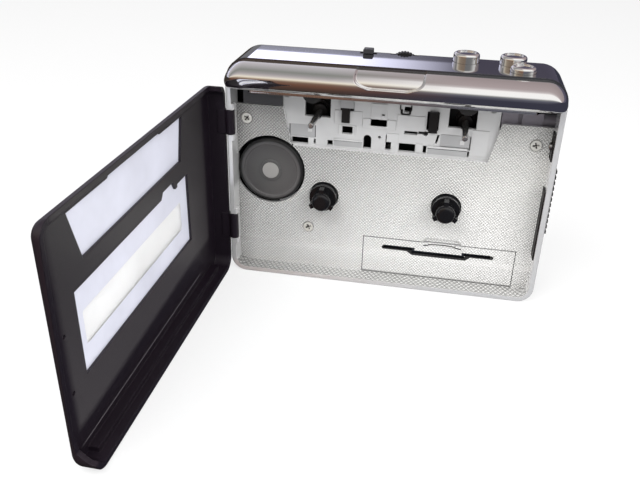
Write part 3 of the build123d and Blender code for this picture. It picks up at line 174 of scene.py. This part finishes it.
class Graph:
    """A node tree, with short ways to add what the looks here need."""

    def __init__(self, tree):
        self.tree = tree
        self.tree.nodes.clear()

    def add(self, kind, **props):
        node = self.tree.nodes.new(kind)
        for key, value in props.items():
            setattr(node, key, value)
        return node

    def link(self, source, target):
        self.tree.links.new(source, target)

    def feed(self, socket, value):
        if isinstance(value, bpy.types.NodeSocket):
            self.link(value, socket)
        else:
            socket.default_value = value

    def math(self, op, *values):
        node = self.add("ShaderNodeMath", operation=op)
        for socket, value in zip(node.inputs, values):
            self.feed(socket, value)
        return node.outputs[0]

    def plus(self, a, b):
        return self.math("ADD", a, b)

    def minus(self, a, b):
        return self.math("SUBTRACT", a, b)

    def times(self, first, *others):
        product = first
        for value in others:
            product = self.math("MULTIPLY", product, value)
        return product

    def largest(self, first, *others):
        greatest = first
        for value in others:
            greatest = self.math("MAXIMUM", greatest, value)
        return greatest

    def less(self, mask, share):
        """1, less a share of it where the mask is 1."""
        return self.minus(1.0, self.times(mask, share))

    def vector(self, op, *values):
        node = self.add("ShaderNodeVectorMath", operation=op)
        for socket, value in zip(node.inputs, values):
            self.feed(socket, value)
        return node.outputs["Value"] if op == "LENGTH" else node.outputs[0]

    def split(self, vector):
        node = self.add("ShaderNodeSeparateXYZ")
        self.link(vector, node.inputs[0])
        return node.outputs[0], node.outputs[1], node.outputs[2]

    def join(self, x, y, z):
        node = self.add("ShaderNodeCombineXYZ")
        for socket, value in zip(node.inputs, (x, y, z)):
            self.feed(socket, value)
        return node.outputs[0]

    def grey(self, value):
        return self.join(value, value, value)

    def position(self):
        """Point in the object's own space, in metres."""
        return self.add("ShaderNodeTexCoord").outputs["Object"]

    def place(self):
        """x, y and z in the object's own space, in mm."""
        return self.split(self.vector("DIVIDE", self.position(), (MM, MM, MM)))

    def turned(self, vector, source, target):
        """A normal taken from one space to another."""
        spaces = {"convert_from": source, "convert_to": target}
        node = self.add("ShaderNodeVectorTransform", vector_type="NORMAL", **spaces)
        self.link(vector, node.inputs[0])
        return node.outputs[0]

    def own_normal(self):
        """Surface normal in the object's own space."""
        return self.turned(self.add("ShaderNodeNewGeometry").outputs["Normal"], "WORLD", "OBJECT")

    def noise(self, scale, detail):
        node = self.add("ShaderNodeTexNoise")
        self.link(self.position(), node.inputs["Vector"])
        node.inputs["Scale"].default_value = scale
        node.inputs["Detail"].default_value = detail
        node.inputs["Roughness"].default_value = 0.6
        return node.outputs["Fac"]

    def ramp(self, fac, stops):
        node = self.add("ShaderNodeValToRGB")
        elements = node.color_ramp.elements
        while len(elements) < len(stops):
            elements.new(0.5)
        for element, (place, colour) in zip(elements, stops):
            element.position = place
            element.color = (*colour, 1.0)
        self.feed(node.inputs[0], fac)
        return node.outputs[0]

    def span(self, value, low, high, out_low=0.0, out_high=1.0):
        """value taken from the range low to high to the range out_low to out_high, and held there."""
        node = self.add("ShaderNodeMapRange")
        for socket, number in zip(node.inputs, (value, low, high, out_low, out_high)):
            self.feed(socket, number)
        return node.outputs[0]

    def mix(self, fac, a, b):
        node = self.add("ShaderNodeMix", data_type="RGBA")
        self.feed(node.inputs[0], fac)
        for socket, value in ((node.inputs[6], a), (node.inputs[7], b)):
            self.feed(socket, (*value, 1.0) if isinstance(value, tuple) else value)
        return node.outputs[2]

    def mix_vectors(self, fac, a, b):
        node = self.add("ShaderNodeMix", data_type="VECTOR")
        for socket, value in ((node.inputs[0], fac), (node.inputs[4], a), (node.inputs[5], b)):
            self.feed(socket, value)
        return node.outputs[1]

    def bump(self, height, strength, distance, normal=None):
        node = self.add("ShaderNodeBump")
        node.inputs["Strength"].default_value = strength
        node.inputs["Distance"].default_value = distance
        self.feed(node.inputs["Height"], height)
        if normal is not None:
            self.link(normal, node.inputs["Normal"])
        return node.outputs[0]

    def bevel(self, radius):
        """Normal with edges softened over a radius in mm."""
        node = self.add("ShaderNodeBevel", samples=6)
        node.inputs["Radius"].default_value = radius * MM
        return node.outputs[0]

    def between(self, value, low, high, soft):
        """1 where value lies between low and high, with soft edges."""
        up = self.span(value, low - soft, low + soft)
        down = self.span(value, high - soft, high + soft, 1.0, 0.0)
        return self.times(up, down)

    def inside(self, x, z, left, right, low, high, soft=0.08):
        """1 in an upright rectangle."""
        return self.times(self.between(x, left, right, soft), self.between(z, low, high, soft))

    def stroke(self, x, z, points, half_width, soft=0.06):
        """1 along a line through points."""
        parts = []
        for (ax, az), (bx, bz) in zip(points, points[1:]):
            run, rise = bx - ax, bz - az
            dx = self.minus(x, ax)
            dz = self.minus(z, az)
            along = self.plus(self.times(dx, run), self.times(dz, rise))
            share = self.span(along, 0.0, run * run + rise * rise)
            off_x = self.minus(dx, self.times(share, run))
            off_z = self.minus(dz, self.times(share, rise))
            away = self.vector("LENGTH", self.join(off_x, 0.0, off_z))
            parts.append(self.span(away, half_width, half_width - soft))
        return self.largest(*parts)


class Look(Graph):
    """A material with one principled surface."""

    def __init__(self, name, colour, rough, metallic=0.0):
        self.mat = bpy.data.materials.new(name)
        self.mat.use_nodes = True
        self.mat.diffuse_color = (*colour, 1.0)
        super().__init__(self.mat.node_tree)
        self.out = self.add("ShaderNodeOutputMaterial")
        self.bsdf = self.add("ShaderNodeBsdfPrincipled")
        self.link(self.bsdf.outputs[0], self.out.inputs["Surface"])
        self.put("Base Color", (*colour, 1.0))
        self.put("Roughness", rough)
        self.put("Metallic", metallic)

    def put(self, name, value):
        self.feed(self.bsdf.inputs[name], value)


def plain(name, colour, rough, metallic=0.0, speckle=0.0, scale=900.0, bevel=0.15):
    """Moulded, painted or metal surface with slight unevenness, fine grain and softened edges."""
    g = Look(name, colour, rough, metallic)
    broad = g.noise(60.0, 3.0)
    g.put("Roughness", g.times(g.span(broad, 0.3, 0.7, 0.88, 1.12), rough))
    g.put("Base Color", g.vector("MULTIPLY", g.join(*colour), g.grey(g.span(broad, 0.3, 0.7, 0.94, 1.05))))
    normal = g.bevel(bevel) if bevel else None
    if speckle:
        normal = g.bump(g.noise(scale, 2.0), speckle, 0.12 * MM, normal)
    if normal is not None:
        g.put("Normal", normal)
    return g


def chrome(name, rough):
    """Polished plating with faint ripple and smudges."""
    g = Look(name, (0.9, 0.9, 0.9), rough, 1.0)
    g.put("Normal", g.bump(g.noise(90.0, 2.0), 0.05, 0.4 * MM, g.bevel(0.2)))
    g.put("Roughness", g.span(g.noise(45.0, 5.0), 0.35, 0.75, rough * 0.7, rough * 1.8))
    return g


def lacquer():
    """Deep glossy black of the case."""
    g = Look("case black", (0.012, 0.012, 0.014), 0.02)
    g.put("Normal", g.bevel(0.3))
    g.put("Specular IOR Level", 1.0)
    g.put("Coat Weight", 1.0)
    g.put("Coat IOR", 1.9)
    g.put("Coat Roughness", 0.01)
    return g


def window_plastic():
    """Milky clear plastic."""
    g = plain("window", (1.0, 1.0, 1.0), 0.5, bevel=0.0)
    g.put("Transmission Weight", 0.6)
    g.put("IOR", 1.3)
    return g


def door_marks(g, x, z, patch, facing):
    """Dark joint line round the battery door, painted shade in its slot and on the slot's walls, and the
    line under its notch.
    """
    outer = g.inside(x, z, DOOR_LINE_LEFT, DOOR_LINE_RIGHT, -1.0, DOOR_LINE_TOP, 0.05)
    inner = g.inside(x, z, DOOR_LEFT, DOOR_RIGHT, 0.0, DOOR_TOP, 0.05)
    line = g.times(patch, g.minus(outer, inner))
    # Painted shade: the slot's walls and the slot itself are painted dark
    round_slot = g.inside(x, z, DOOR_SLOT_LEFT, DOOR_SLOT_RIGHT, DOOR_SLOT_LOW, DOOR_SLOT_HIGH)
    walls = g.times(round_slot, g.minus(1.0, facing))
    slot = g.times(g.largest(patch, facing), g.stroke(x, z, DOOR_SLOT, DOOR_SLOT_HALF))
    under = g.times(facing, g.stroke(x, z, DOOR_BOW, DOOR_BOW_HALF))
    return g.largest(line, walls, slot, under)


def knurled():
    """Bright plated plastic with diamond pyramids on the well floor, its lower wall and the battery door."""
    g = Look("well chrome", (0.86, 0.86, 0.84), 0.2, 1.0)
    x, y, z = g.place()
    normal = g.own_normal()
    _, ny, nz = g.split(normal)
    facing = g.span(ny, -0.9, -0.98)
    patch = g.times(facing, g.between(y, WELL_FLOOR_Y - 0.2, WELL_FLOOR_Y + 1.0, 0.02))
    wall = g.times(g.span(nz, 0.3, 0.45), g.span(z, 9.0, 7.0), g.span(y, -5.0, -5.4))
    fold = g.between(z, FOLD_LOW, FOLD_HIGH, 0.3)
    relief = g.largest(g.times(patch, g.less(fold, 0.6)), wall)

    # Place in a diamond cell, from -0.5 to 0.5 on each of its two slanting axes
    along = g.plus(g.times(z, patch), g.times(y, 0.7, wall))
    pitch = g.span(wall, 0.0, 1.0, KNURL_PITCH, KNURL_WALL_PITCH)
    rising = g.minus(g.math("FRACT", g.math("DIVIDE", g.plus(x, along), pitch)), 0.5)
    falling = g.minus(g.math("FRACT", g.math("DIVIDE", g.minus(x, along), pitch)), 0.5)
    rising_size = g.math("ABSOLUTE", rising)
    falling_size = g.math("ABSOLUTE", falling)
    first = g.math("GREATER_THAN", rising_size, falling_size)
    toward_rising = g.times(g.math("SIGN", rising), first)
    toward_falling = g.times(g.math("SIGN", falling), g.minus(1.0, first))

    # Each of the four faces of a pyramid leans its own way
    slope = g.times(KNURL_SLOPE, relief, g.span(g.noise(900.0, 2.0), 0.2, 0.8, 0.8, 1.2))
    lean_x = g.times(g.plus(toward_rising, toward_falling), slope)
    lean_along = g.times(g.minus(toward_rising, toward_falling), slope)
    tilt = g.join(lean_x, g.times(lean_along, wall), g.times(lean_along, patch))
    leaning = g.turned(g.vector("ADD", normal, tilt), "OBJECT", "WORLD")
    g.put("Normal", g.vector("NORMALIZE", g.mix_vectors(relief, g.bevel(0.25), leaning)))

    # Painted light and shade: dimmer towards the upper hinge corner, on the lower wall and along the fold,
    # brightest at the lower right, with painted shade in the grooves
    corner = g.minus(g.times(x, 5.0), g.times(z, 8.0))
    light = g.times(g.span(corner, -600.0, -100.0, 0.58, 1.0), g.span(x, -52.0, -46.0, 0.7, 1.0))
    light = g.times(light, g.less(wall, 0.2), g.less(fold, 0.08))
    rim_shade_row = g.times(wall, g.span(y, -15.6, -17.4))
    # Painted shade in the grooves: darker towards the upper hinge corner and on the lower wall, darkest in
    # the row by the rim
    depth = g.minus(g.span(corner, -500.0, 100.0, 0.36, 0.62), g.times(wall, 0.2))
    depth = g.times(depth, g.less(rim_shade_row, 0.8))
    edge = g.span(g.largest(rising_size, falling_size), 0.33, 0.5)
    shade = g.vector("MULTIPLY", g.grey(light), g.mix(edge, (1.0, 1.0, 1.0), g.grey(depth)))
    painted = g.largest(patch, wall)
    colour = g.mix(painted, (0.88, 0.88, 0.88), g.vector("MULTIPLY", g.join(1.0, 0.995, 0.975), shade))

    # Dark joint line round the door, with painted shade in its slot
    dark = door_marks(g, x, z, patch, facing)
    g.put("Base Color", g.mix(dark, colour, (0.01, 0.01, 0.011)))
    g.put("Metallic", g.times(g.span(painted, 0.0, 1.0, 0.55, 0.2), g.minus(1.0, dark)))
    g.put("Roughness", g.span(painted, 0.0, 1.0, 0.12, 0.3))
    return g


def screw_heads():
    """Plated screws with painted shade in their crossed recesses and in a ring round the head."""
    g = Look("screw steel", (0.78, 0.77, 0.72), 0.3, 0.35)
    x, _, z = g.place()
    # Painted shade: a dark cross in each recess and a dark ring round each head
    dark = []
    for centre_x, centre_z, turn in FLOOR_SCREWS:
        dx = g.minus(x, centre_x)
        dz = g.minus(z, centre_z)
        a = g.plus(g.times(dx, cos(turn)), g.times(dz, sin(turn)))
        b = g.minus(g.times(dz, cos(turn)), g.times(dx, sin(turn)))
        dark.append(g.inside(a, b, -CROSS_REACH, CROSS_REACH, -CROSS_HALF, CROSS_HALF, 0.06))
        dark.append(g.inside(a, b, -CROSS_HALF, CROSS_HALF, -CROSS_REACH, CROSS_REACH, 0.06))
        away = g.vector("LENGTH", g.join(dx, 0.0, dz))
        dark.append(g.times(SCREW_SHADE_SHARE, g.between(away, SCREW_SHADE_INNER, SCREW_SHADE_OUTER, 0.1)))
    g.put("Base Color", g.mix(g.largest(*dark), (0.78, 0.77, 0.72), (0.05, 0.045, 0.04)))
    g.put("Normal", g.bevel(0.1))
    return g


def motor_face():
    """Painted motor can: painted shade in the gap at its rim, paler turned face with faint rings, and
    painted light brighter towards the lower right.
    """
    g = Look("motor grey", (0.13, 0.13, 0.13), 0.32, 0.5)
    x, _, z = g.place()
    away = g.vector("LENGTH", g.join(g.minus(x, MOTOR_X), 0.0, g.minus(z, MOTOR_Z)))
    # Tone by distance from the middle: the dark outer ring is painted shade in the gap round the can
    tone = g.ramp(g.math("DIVIDE", away, MOTOR_RADIUS), [
        (0.0, (0.15, 0.15, 0.15)),
        (0.45, (0.15, 0.148, 0.146)),
        (0.72, (0.13, 0.128, 0.127)),
        (0.8, (0.165, 0.16, 0.16)),
        (0.86, (0.12, 0.12, 0.12)),
        (0.9, (0.03, 0.03, 0.03)),
        (1.0, (0.02, 0.02, 0.02)),
    ])
    # Painted light: brighter towards the lower right
    painted_light = g.span(g.minus(x, z), -96.0, -62.0, 0.8, 1.25)
    g.put("Base Color", g.vector("MULTIPLY", tone, g.grey(painted_light)))
    g.put("Normal", g.bevel(0.3))
    return g


def tray_black():
    """Lid tray: painted light on the dark moulded floor fading upwards, painted shade on the coved sides,
    and a painted highlight along the ledge.
    """
    g = Look("lid black", (0.02, 0.016, 0.022), 0.4)
    x, y, z = g.place()
    facing = g.split(g.own_normal())[0]
    # Painted light: a lighter area on the floor, with painted shade round it on the coved sides
    floor = g.times(g.span(facing, 0.9, 0.97), g.span(x, LID_WALL_X, LID_FLOOR_X))
    height = g.minus(z, g.span(y, LID_FRONT, LID_BACK, LID_FIELD_LOW_FRONT, LID_FIELD_LOW_BACK))
    across = g.between(y, LID_FIELD_FRONT, LID_FIELD_BACK, LID_FIELD_SOFT)
    lit_field = g.times(floor, g.span(height, -LID_FIELD_SOFT, LID_FIELD_SOFT), across)
    # Painted light fading upwards
    tone = g.span(z, 14.0, LID_FIELD_TOP, 0.055, 0.032)
    grey = g.join(tone, g.times(tone, 0.9), g.times(tone, 0.97))
    colour = g.mix(lit_field, (0.012, 0.008, 0.013), grey)
    # Painted highlight: a pale line along the ledge
    over_ledge = g.minus(z, g.span(y, LID_FRONT, LEDGE_RISE_BACK, LEDGE_LOW_FRONT, LEDGE_LOW_BACK))
    ledge_highlight = g.between(over_ledge, LEDGE_UNDER, LEDGE_OVER, 0.08)
    line = g.times(ledge_highlight, g.between(y, LEDGE_FRONT, LEDGE_BACK, 2.0))
    colour = g.mix(g.times(floor, line), colour, (0.13, 0.12, 0.13))
    grain = g.span(g.noise(2600.0, 2.0), 0.3, 0.7, 0.88, 1.12)
    g.put("Base Color", g.vector("MULTIPLY", colour, g.grey(grain)))
    g.put("Normal", g.bump(g.noise(2500.0, 2.0), 0.12, 0.12 * MM, g.bevel(0.4)))
    return g


by_slot = {
    "well_chrome": knurled(),
    "bright_chrome": chrome("band chrome", 0.05),
    "case_black": lacquer(),
    "lid_black": tray_black(),
    "plate_lavender": plain("front plate", (0.78, 0.79, 0.9), 0.35, bevel=0.0),
    "window_clear": window_plastic(),
    "deck_grey": plain("deck grey", (0.6, 0.6, 0.6), 0.5, speckle=0.12),
    "inner_black": plain("inner black", (0.012, 0.012, 0.012), 0.4, speckle=0.15),
    "jack_grey": plain("jack grey", (0.235, 0.215, 0.25), 0.45),
    "knob_dark": plain("knob dark", (0.04, 0.04, 0.045), 0.35),
    "bare_steel": plain("bare steel", (0.55, 0.55, 0.55), 0.3, 1.0),
    "screw_steel": screw_heads(),
    "head_metal": plain("head metal", (0.55, 0.53, 0.5), 0.3, 1.0),
    "yellow_brass": plain("yellow brass", (0.7, 0.52, 0.25), 0.3, 1.0),
    "black_rubber": plain("black rubber", (0.02, 0.02, 0.02), 0.7, speckle=0.25),
    "motor_grey": motor_face(),
    "cap_grey": plain("cap grey", (0.5, 0.49, 0.47), 0.4, 0.5),
    "board_green": plain("board green", (0.03, 0.14, 0.06), 0.45),
    "cell_wrap": plain("cell wrap", (0.05, 0.06, 0.08), 0.3),
}
button_chrome = chrome("button chrome", 0.07)
spindle_black = plain("spindle black", (0.006, 0.006, 0.007), 0.16, speckle=0.05, scale=500.0)
capstan_steel = plain("bright steel", (0.5, 0.49, 0.48), 0.18, 0.9)
by_node = {
    "play_button": button_chrome,
    "stop_button": button_chrome,
    "forward_button": button_chrome,
    "reel_left": spindle_black,
    "reel_right": spindle_black,
    "capstan_left": capstan_steel,
    "capstan_right": capstan_steel,
    "motor_switch": plain("switch grey", (0.075, 0.075, 0.08), 0.5, speckle=0.6, scale=1500.0),
    "wall_inserts": plain("strip black", (0.009, 0.007, 0.007), 0.6, speckle=0.3),
    "pinch_brackets": plain("dark steel", (0.12, 0.115, 0.11), 0.25, 0.8),
    # Painted shade: the bearings, brass on the part, are coloured near black as the shade inside the
    # mechanism
    "capstan_bearings": plain("bearing shaded dark", (0.02, 0.019, 0.018), 0.35),
}
for entry in frame["record"]["subparts"]:
    look = by_node.get(entry["node"], by_slot[entry["material_slot"]])
    for slot in nodes[entry["node"]].material_slots:
        slot.material = look.mat


def placed(name, mesh):
    """A mesh as an object in the scene."""
    thing = bpy.data.objects.new(name, mesh)
    bpy.context.scene.collection.objects.link(thing)
    return thing


def smooth_step(value, low, high):
    """0 below low, 1 above high, with an even curve between."""
    t = min(max((value - low) / (high - low), 0.0), 1.0)
    return t * t * (3 - 2 * t)


def rounding(away, half, radius):
    """Inset of a quarter circle of that radius at the end of a half length."""
    s = min(max((away - half + radius) / radius, 0.0), 1.0)
    return radius * (1 - sqrt(1 - s * s))


def scoop_share(x, z):
    """How far a point of the band lies inside the thumb scoop, from 0 to 1."""
    across = abs(x - SCOOP_CENTRE) - (SCOOP_HALF - SCOOP_CORNER)
    below = SCOOP_SQUEEZE * (SCOOP_LOW - z) + SCOOP_CORNER
    outside = hypot(max(across, 0.0), max(below, 0.0)) + min(max(across, below), 0.0) - SCOOP_CORNER
    return smooth_step(-outside, 0.0, SCOOP_EDGE)


def band_section(x):
    """Points round the front of the plated band at x, as y and z, from its top edge to its lower back."""
    away = abs(x)
    top = BAND_TOP - rounding(away, BAND_HALF, BAND_TOP_ROUNDING)
    bottom = BAND_BOTTOM + rounding(away, BAND_HALF, BAND_BOTTOM_ROUNDING)
    front = BAND_FRONT + rounding(away, BAND_HALF, BAND_FRONT_ROUNDING)
    middle = bottom + (top - bottom) * BAND_MIDDLE_SHARE
    reach = BAND_BACK - front
    turn = BAND_LOWER_TURN * reach / (BAND_BACK - BAND_FRONT)
    points = []
    for i in range(BAND_FRONT_STEPS + 1):
        angle = radians(90.0 * i / BAND_FRONT_STEPS)
        depth = BAND_BACK - reach * sin(angle)
        z = middle + (top - middle) * cos(angle)
        share = scoop_share(x, z)
        scoop_depth = SCOOP_MIDDLE[0] - SCOOP_RADII[0] * sin(angle)
        scoop_z = SCOOP_MIDDLE[1] + SCOOP_RADII[1] * cos(angle)
        points.append((depth + share * (scoop_depth - depth), z + share * (scoop_z - z)))
    for i in range(1, BAND_LOWER_STEPS + 1):
        angle = radians(90.0 * i / BAND_LOWER_STEPS)
        points.append((front + turn * (1 - cos(angle)), middle - (middle - bottom) * sin(angle)))
    start = points[-1][0]
    end = BAND_BACK if away > BAND_OPEN_HALF else max(start, BAND_LIP_BACK)
    for i in range(1, BAND_LIP_STEPS + 1):
        points.append((start + (end - start) * i / BAND_LIP_STEPS, bottom))
    return [(RIM_Y + depth, z) for depth, z in points]


def band_columns():
    """Places along the band: close together at the scoop and at the two ends."""
    straight = BAND_HALF - BAND_END
    turns = [radians(90.0 * i / BAND_END_STEPS) for i in range(1, BAND_END_STEPS + 1)]
    ends = [straight + BAND_END * sin(turn) for turn in turns]
    scoop = [SCOOP_FIRST + i * SCOOP_STEP for i in range(SCOOP_COLUMNS)]
    run_step = (straight - RUN_START) / BAND_RUN_STEPS
    run = [RUN_START + i * run_step for i in range(1, BAND_RUN_STEPS + 1)]
    left = [-x for x in ends] + [-x - RUN_SHIFT for x in run[:-1]]
    return sorted({round(x, 4) for x in left + scoop + run + ends})


def plated_band():
    """The plated band over the well as one smooth skin with ball-like ends and the thumb scoop."""
    columns = band_columns()
    rows = [band_section(x) for x in columns]
    verts = [(x * MM, y * MM, z * MM) for x, row in zip(columns, rows) for y, z in row]
    count = len(rows[0])
    faces = []
    for i in range(len(rows) - 1):
        for j in range(count - 1):
            a = i * count + j
            faces.append((a, a + 1, a + count + 1, a + count))
    mesh = bpy.data.meshes.new("band_skin")
    mesh.from_pydata(verts, [], faces)
    mesh.validate()
    for polygon in mesh.polygons:
        polygon.use_smooth = True
    mesh.materials.append(by_slot["bright_chrome"].mat)
    skin = placed("band_skin", mesh)
    thick = skin.modifiers.new("wall", "SOLIDIFY")
    thick.thickness = BAND_WALL * MM
    thick.offset = -1.0
    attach(skin, "case")
    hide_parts("top_band")


def solid_from(name, outline, low, high):
    """Prism over an (x, z) outline between two y values, in mm."""
    count = len(outline)
    verts = [(x * MM, y * MM, z * MM) for y in (low, high) for x, z in outline]
    faces = [tuple(range(count)), tuple(range(2 * count - 1, count - 1, -1))]
    for i in range(count):
        j = (i + 1) % count
        faces.append((j, i, i + count, j + count))
    mesh = bpy.data.meshes.new(name)
    mesh.from_pydata(verts, [], faces)
    built = bmesh.new()
    built.from_mesh(mesh)
    bmesh.ops.recalc_face_normals(built, faces=built.faces)
    built.to_mesh(mesh)
    built.free()
    return placed(name, mesh)


def cut_copy(node, name, tool):
    """Copy of a CAD node's mesh with a tool cut away and edges over 30 degrees kept sharp."""
    mesh = bpy.data.meshes.new(name)
    built = bmesh.new()
    built.from_mesh(nodes[node].data)
    bmesh.ops.remove_doubles(built, verts=built.verts, dist=0.002 * MM)
    built.to_mesh(mesh)
    built.free()
    piece = placed(name, mesh)
    cut = piece.modifiers.new("cut", "BOOLEAN")
    cut.operation = "DIFFERENCE"
    cut.solver = "EXACT"
    cut.object = tool
    bpy.context.view_layer.update()
    done = bpy.data.meshes.new_from_object(piece.evaluated_get(bpy.context.evaluated_depsgraph_get()))
    piece.modifiers.clear()
    piece.data = done
    bpy.data.objects.remove(tool)
    built = bmesh.new()
    built.from_mesh(done)
    for face in built.faces:
        face.smooth = True
        face.material_index = 0
    for edge in built.edges:
        edge.smooth = len(edge.link_faces) == 2 and edge.calc_face_angle(0.0) < radians(30)
    built.to_mesh(done)
    built.free()
    return piece


def lid_tray():
    """Lid tray whose free end has only a low lip, which rises again to the bottom corner."""
    tray = cut_copy("lid_shell", "lid_tray", solid_from("lip_cut", LIP_CUT, LIP_FRONT, LIP_BACK))
    tray.data.materials.clear()
    tray.data.materials.append(by_slot["lid_black"].mat)
    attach(tray, "lid")
    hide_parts("lid_shell")


def button_springs():
    """Gives each spring round the button stems its own copy of its mesh; the springs shorten under their
    button, which is not done here.
    """
    for joint in frame["record"]["behaviour"]["joints"]:
        for row in joint.get("deforming_nodes", []):
            spring = nodes[row["node"]]
            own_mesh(spring)


def deck_details(name, bars, look):
    """One mesh of small boxes on the mechanism plate."""
    built = bmesh.new()
    for left, right, low, high, proud in bars:
        size = Vector((right - left, proud + DETAIL_SINK, high - low)) * MM
        middle_y = DECK_Y + (DETAIL_SINK - proud) / 2
        middle = Vector(((left + right) / 2, middle_y, CAPSTAN_HEIGHT + (low + high) / 2))
        matrix = Matrix.Translation(middle * MM) @ Matrix.Diagonal((*size, 1.0))
        bmesh.ops.create_cube(built, size=1.0, matrix=matrix)
    mesh = bpy.data.meshes.new(name)
    built.to_mesh(mesh)
    built.free()
    mesh.materials.append(look.mat)
    piece = placed(name, mesh)
    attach(piece, "case")


def stage_floor():
    """Pale table top, white to the camera, with soft shadows kept."""
    mesh = bpy.data.meshes.new("floor")
    front = [(-FLOOR_SIDE, FLOOR_FRONT), (FLOOR_SIDE, FLOOR_FRONT)]
    back = [(FLOOR_SIDE, FLOOR_BACK), (-FLOOR_SIDE, FLOOR_BACK)]
    mesh.from_pydata([(x, y, -FLOOR_DROP) for x, y in front + back], [], [(0, 1, 2, 3)])
    floor = placed("floor", mesh)
    floor.visible_glossy = False
    g = Look("floor", (0.9, 0.9, 0.9), 0.6)
    g.put("Specular IOR Level", 0.2)
    glow = g.add("ShaderNodeEmission")
    glow.inputs[0].default_value = (1.0, 1.0, 1.0, 1.0)
    glow.inputs[1].default_value = 1.0
    blend = g.add("ShaderNodeMixShader")
    g.link(g.times(g.add("ShaderNodeLightPath").outputs["Is Camera Ray"], FLOOR_GLOW), blend.inputs[0])
    g.link(g.bsdf.outputs[0], blend.inputs[1])
    g.link(glow.outputs[0], blend.inputs[2])
    g.link(blend.outputs[0], g.out.inputs["Surface"])
    mesh.materials.append(g.mat)


def surroundings():
    """White to the camera, even for diffuse light, and a room of soft strips for reflections."""
    world = bpy.data.worlds.new("room")
    bpy.context.scene.world = world
    world.use_nodes = True
    g = Graph(world.node_tree)
    out = g.add("ShaderNodeOutputWorld")
    back = g.add("ShaderNodeBackground")
    g.link(back.outputs[0], out.inputs[0])
    x, y, z = g.split(g.add("ShaderNodeTexCoord").outputs["Generated"])

    # Height round the long axis: -90 below, 0 in front, 90 above, 180 behind
    turn = g.math("ARCTAN2", z, g.times(y, -1.0))
    place = g.span(turn, -pi / 2, pi)

    def strips(stops):
        return g.ramp(place, [((degrees + 90.0) / 270.0, colour) for degrees, colour in stops])

    left = strips([
        (-90, (0.045, 0.036, 0.03)),
        (-60, (0.08, 0.045, 0.035)),
        (-30, (0.153, 0.074, 0.05)),
        (5, (0.23, 0.147, 0.109)),
        (25, (0.5, 0.4, 0.3)),
        (43, (0.88, 0.8, 0.66)),
        (58, (0.72, 0.66, 0.6)),
        (75, (0.51, 0.46, 0.46)),
        (92, (0.36, 0.34, 0.34)),
        (113, (0.25, 0.255, 0.235)),
        (147, (0.53, 0.5, 0.52)),
        (160, (0.68, 0.66, 0.74)),
        (165, (0.7, 0.7, 0.9)),
        (168, (0.25, 0.25, 0.27)),
        (180, (0.2, 0.2, 0.22)),
    ])
    right = strips([
        (-90, (0.042, 0.042, 0.062)),
        (-35, (0.045, 0.044, 0.064)),
        (-10, (0.12, 0.12, 0.15)),
        (5, (0.2, 0.2, 0.22)),
        (18, (0.3, 0.3, 0.3)),
        (32, (0.85, 0.84, 0.82)),
        (45, (1.0, 0.99, 0.97)),
        (88, (1.0, 0.97, 0.95)),
        (99, (0.6, 0.54, 0.54)),
        (112, (0.44, 0.37, 0.37)),
        (150, (0.35, 0.29, 0.29)),
        (163, (0.3, 0.26, 0.28)),
        (165.4, (0.1, 0.09, 0.13)),
        (180, (0.1, 0.09, 0.13)),
    ])
    pale = g.between(turn, radians(165.35), radians(166.3), radians(0.05))
    room = g.mix(g.span(x, -0.16, 0.02), g.mix(pale, left, (2.4, 2.4, 3.0)), right)
    rays = g.add("ShaderNodeLightPath").outputs
    lit = g.mix(rays["Is Glossy Ray"], (0.6, 0.6, 0.6), room)
    seen = g.largest(rays["Is Camera Ray"], rays["Is Transmission Ray"])
    g.link(g.mix(seen, lit, (1.0, 1.0, 1.0)), back.inputs[0])
    back.inputs[1].default_value = 1.0


def lamp(name, place, watts):
    """Soft square lamp aimed at the middle of the part."""
    data = bpy.data.lights.new(name, "AREA")
    data.shape = "SQUARE"
    data.size = LAMP_SIZE
    data.energy = watts
    source = placed(name, data)
    away = Vector(place) - Vector(LAMP_TARGET)
    source.matrix_world = Matrix.Translation(place) @ away.to_track_quat("Z", "Y").to_matrix().to_4x4()
    source.visible_glossy = False


def photo_camera():
    """Camera placed as in the photograph."""
    yaw, pitch, roll = CAMERA_YAW, CAMERA_PITCH, CAMERA_ROLL
    forward = Vector((-sin(yaw) * cos(pitch), cos(yaw) * cos(pitch), -sin(pitch)))
    across = Vector((cos(yaw), sin(yaw), 0.0))
    upward = across.cross(forward)
    right = cos(roll) * across + sin(roll) * upward
    up = -sin(roll) * across + cos(roll) * upward
    data = bpy.data.cameras.new("camera")
    data.lens = CAMERA_LENS
    data.sensor_width = CAMERA_SENSOR
    data.sensor_fit = "HORIZONTAL"
    data.clip_start = 0.01
    camera = placed("camera", data)
    matrix = Matrix((right, up, -forward)).transposed().to_4x4()
    matrix.translation = Vector(CAMERA_PLACE)
    camera.matrix_world = matrix
    bpy.context.scene.camera = camera


plated_band()
lid_tray()
button_springs()
# Raised relief on the mechanism plate, plates of painted shade, and black marks that are partly painted
# shade
deck_shade = plain("deck shade", (0.42, 0.42, 0.425), 0.5, speckle=0.15)
deck_details("deck_relief", RAISED, by_slot["deck_grey"])
deck_details("deck_shade_plates", SHADE_PLATES, deck_shade)
deck_details("deck_marks", DARK_MARKS, by_slot["inner_black"])
stage_floor()
surroundings()
for name, place, watts in LAMPS:
    lamp(name, place, watts)
photo_camera()

scene = bpy.context.scene
scene.render.engine = "CYCLES"
scene.render.resolution_x = 640
scene.render.resolution_y = 485
scene.view_settings.view_transform = "Standard"
scene.cycles.max_bounces = 8
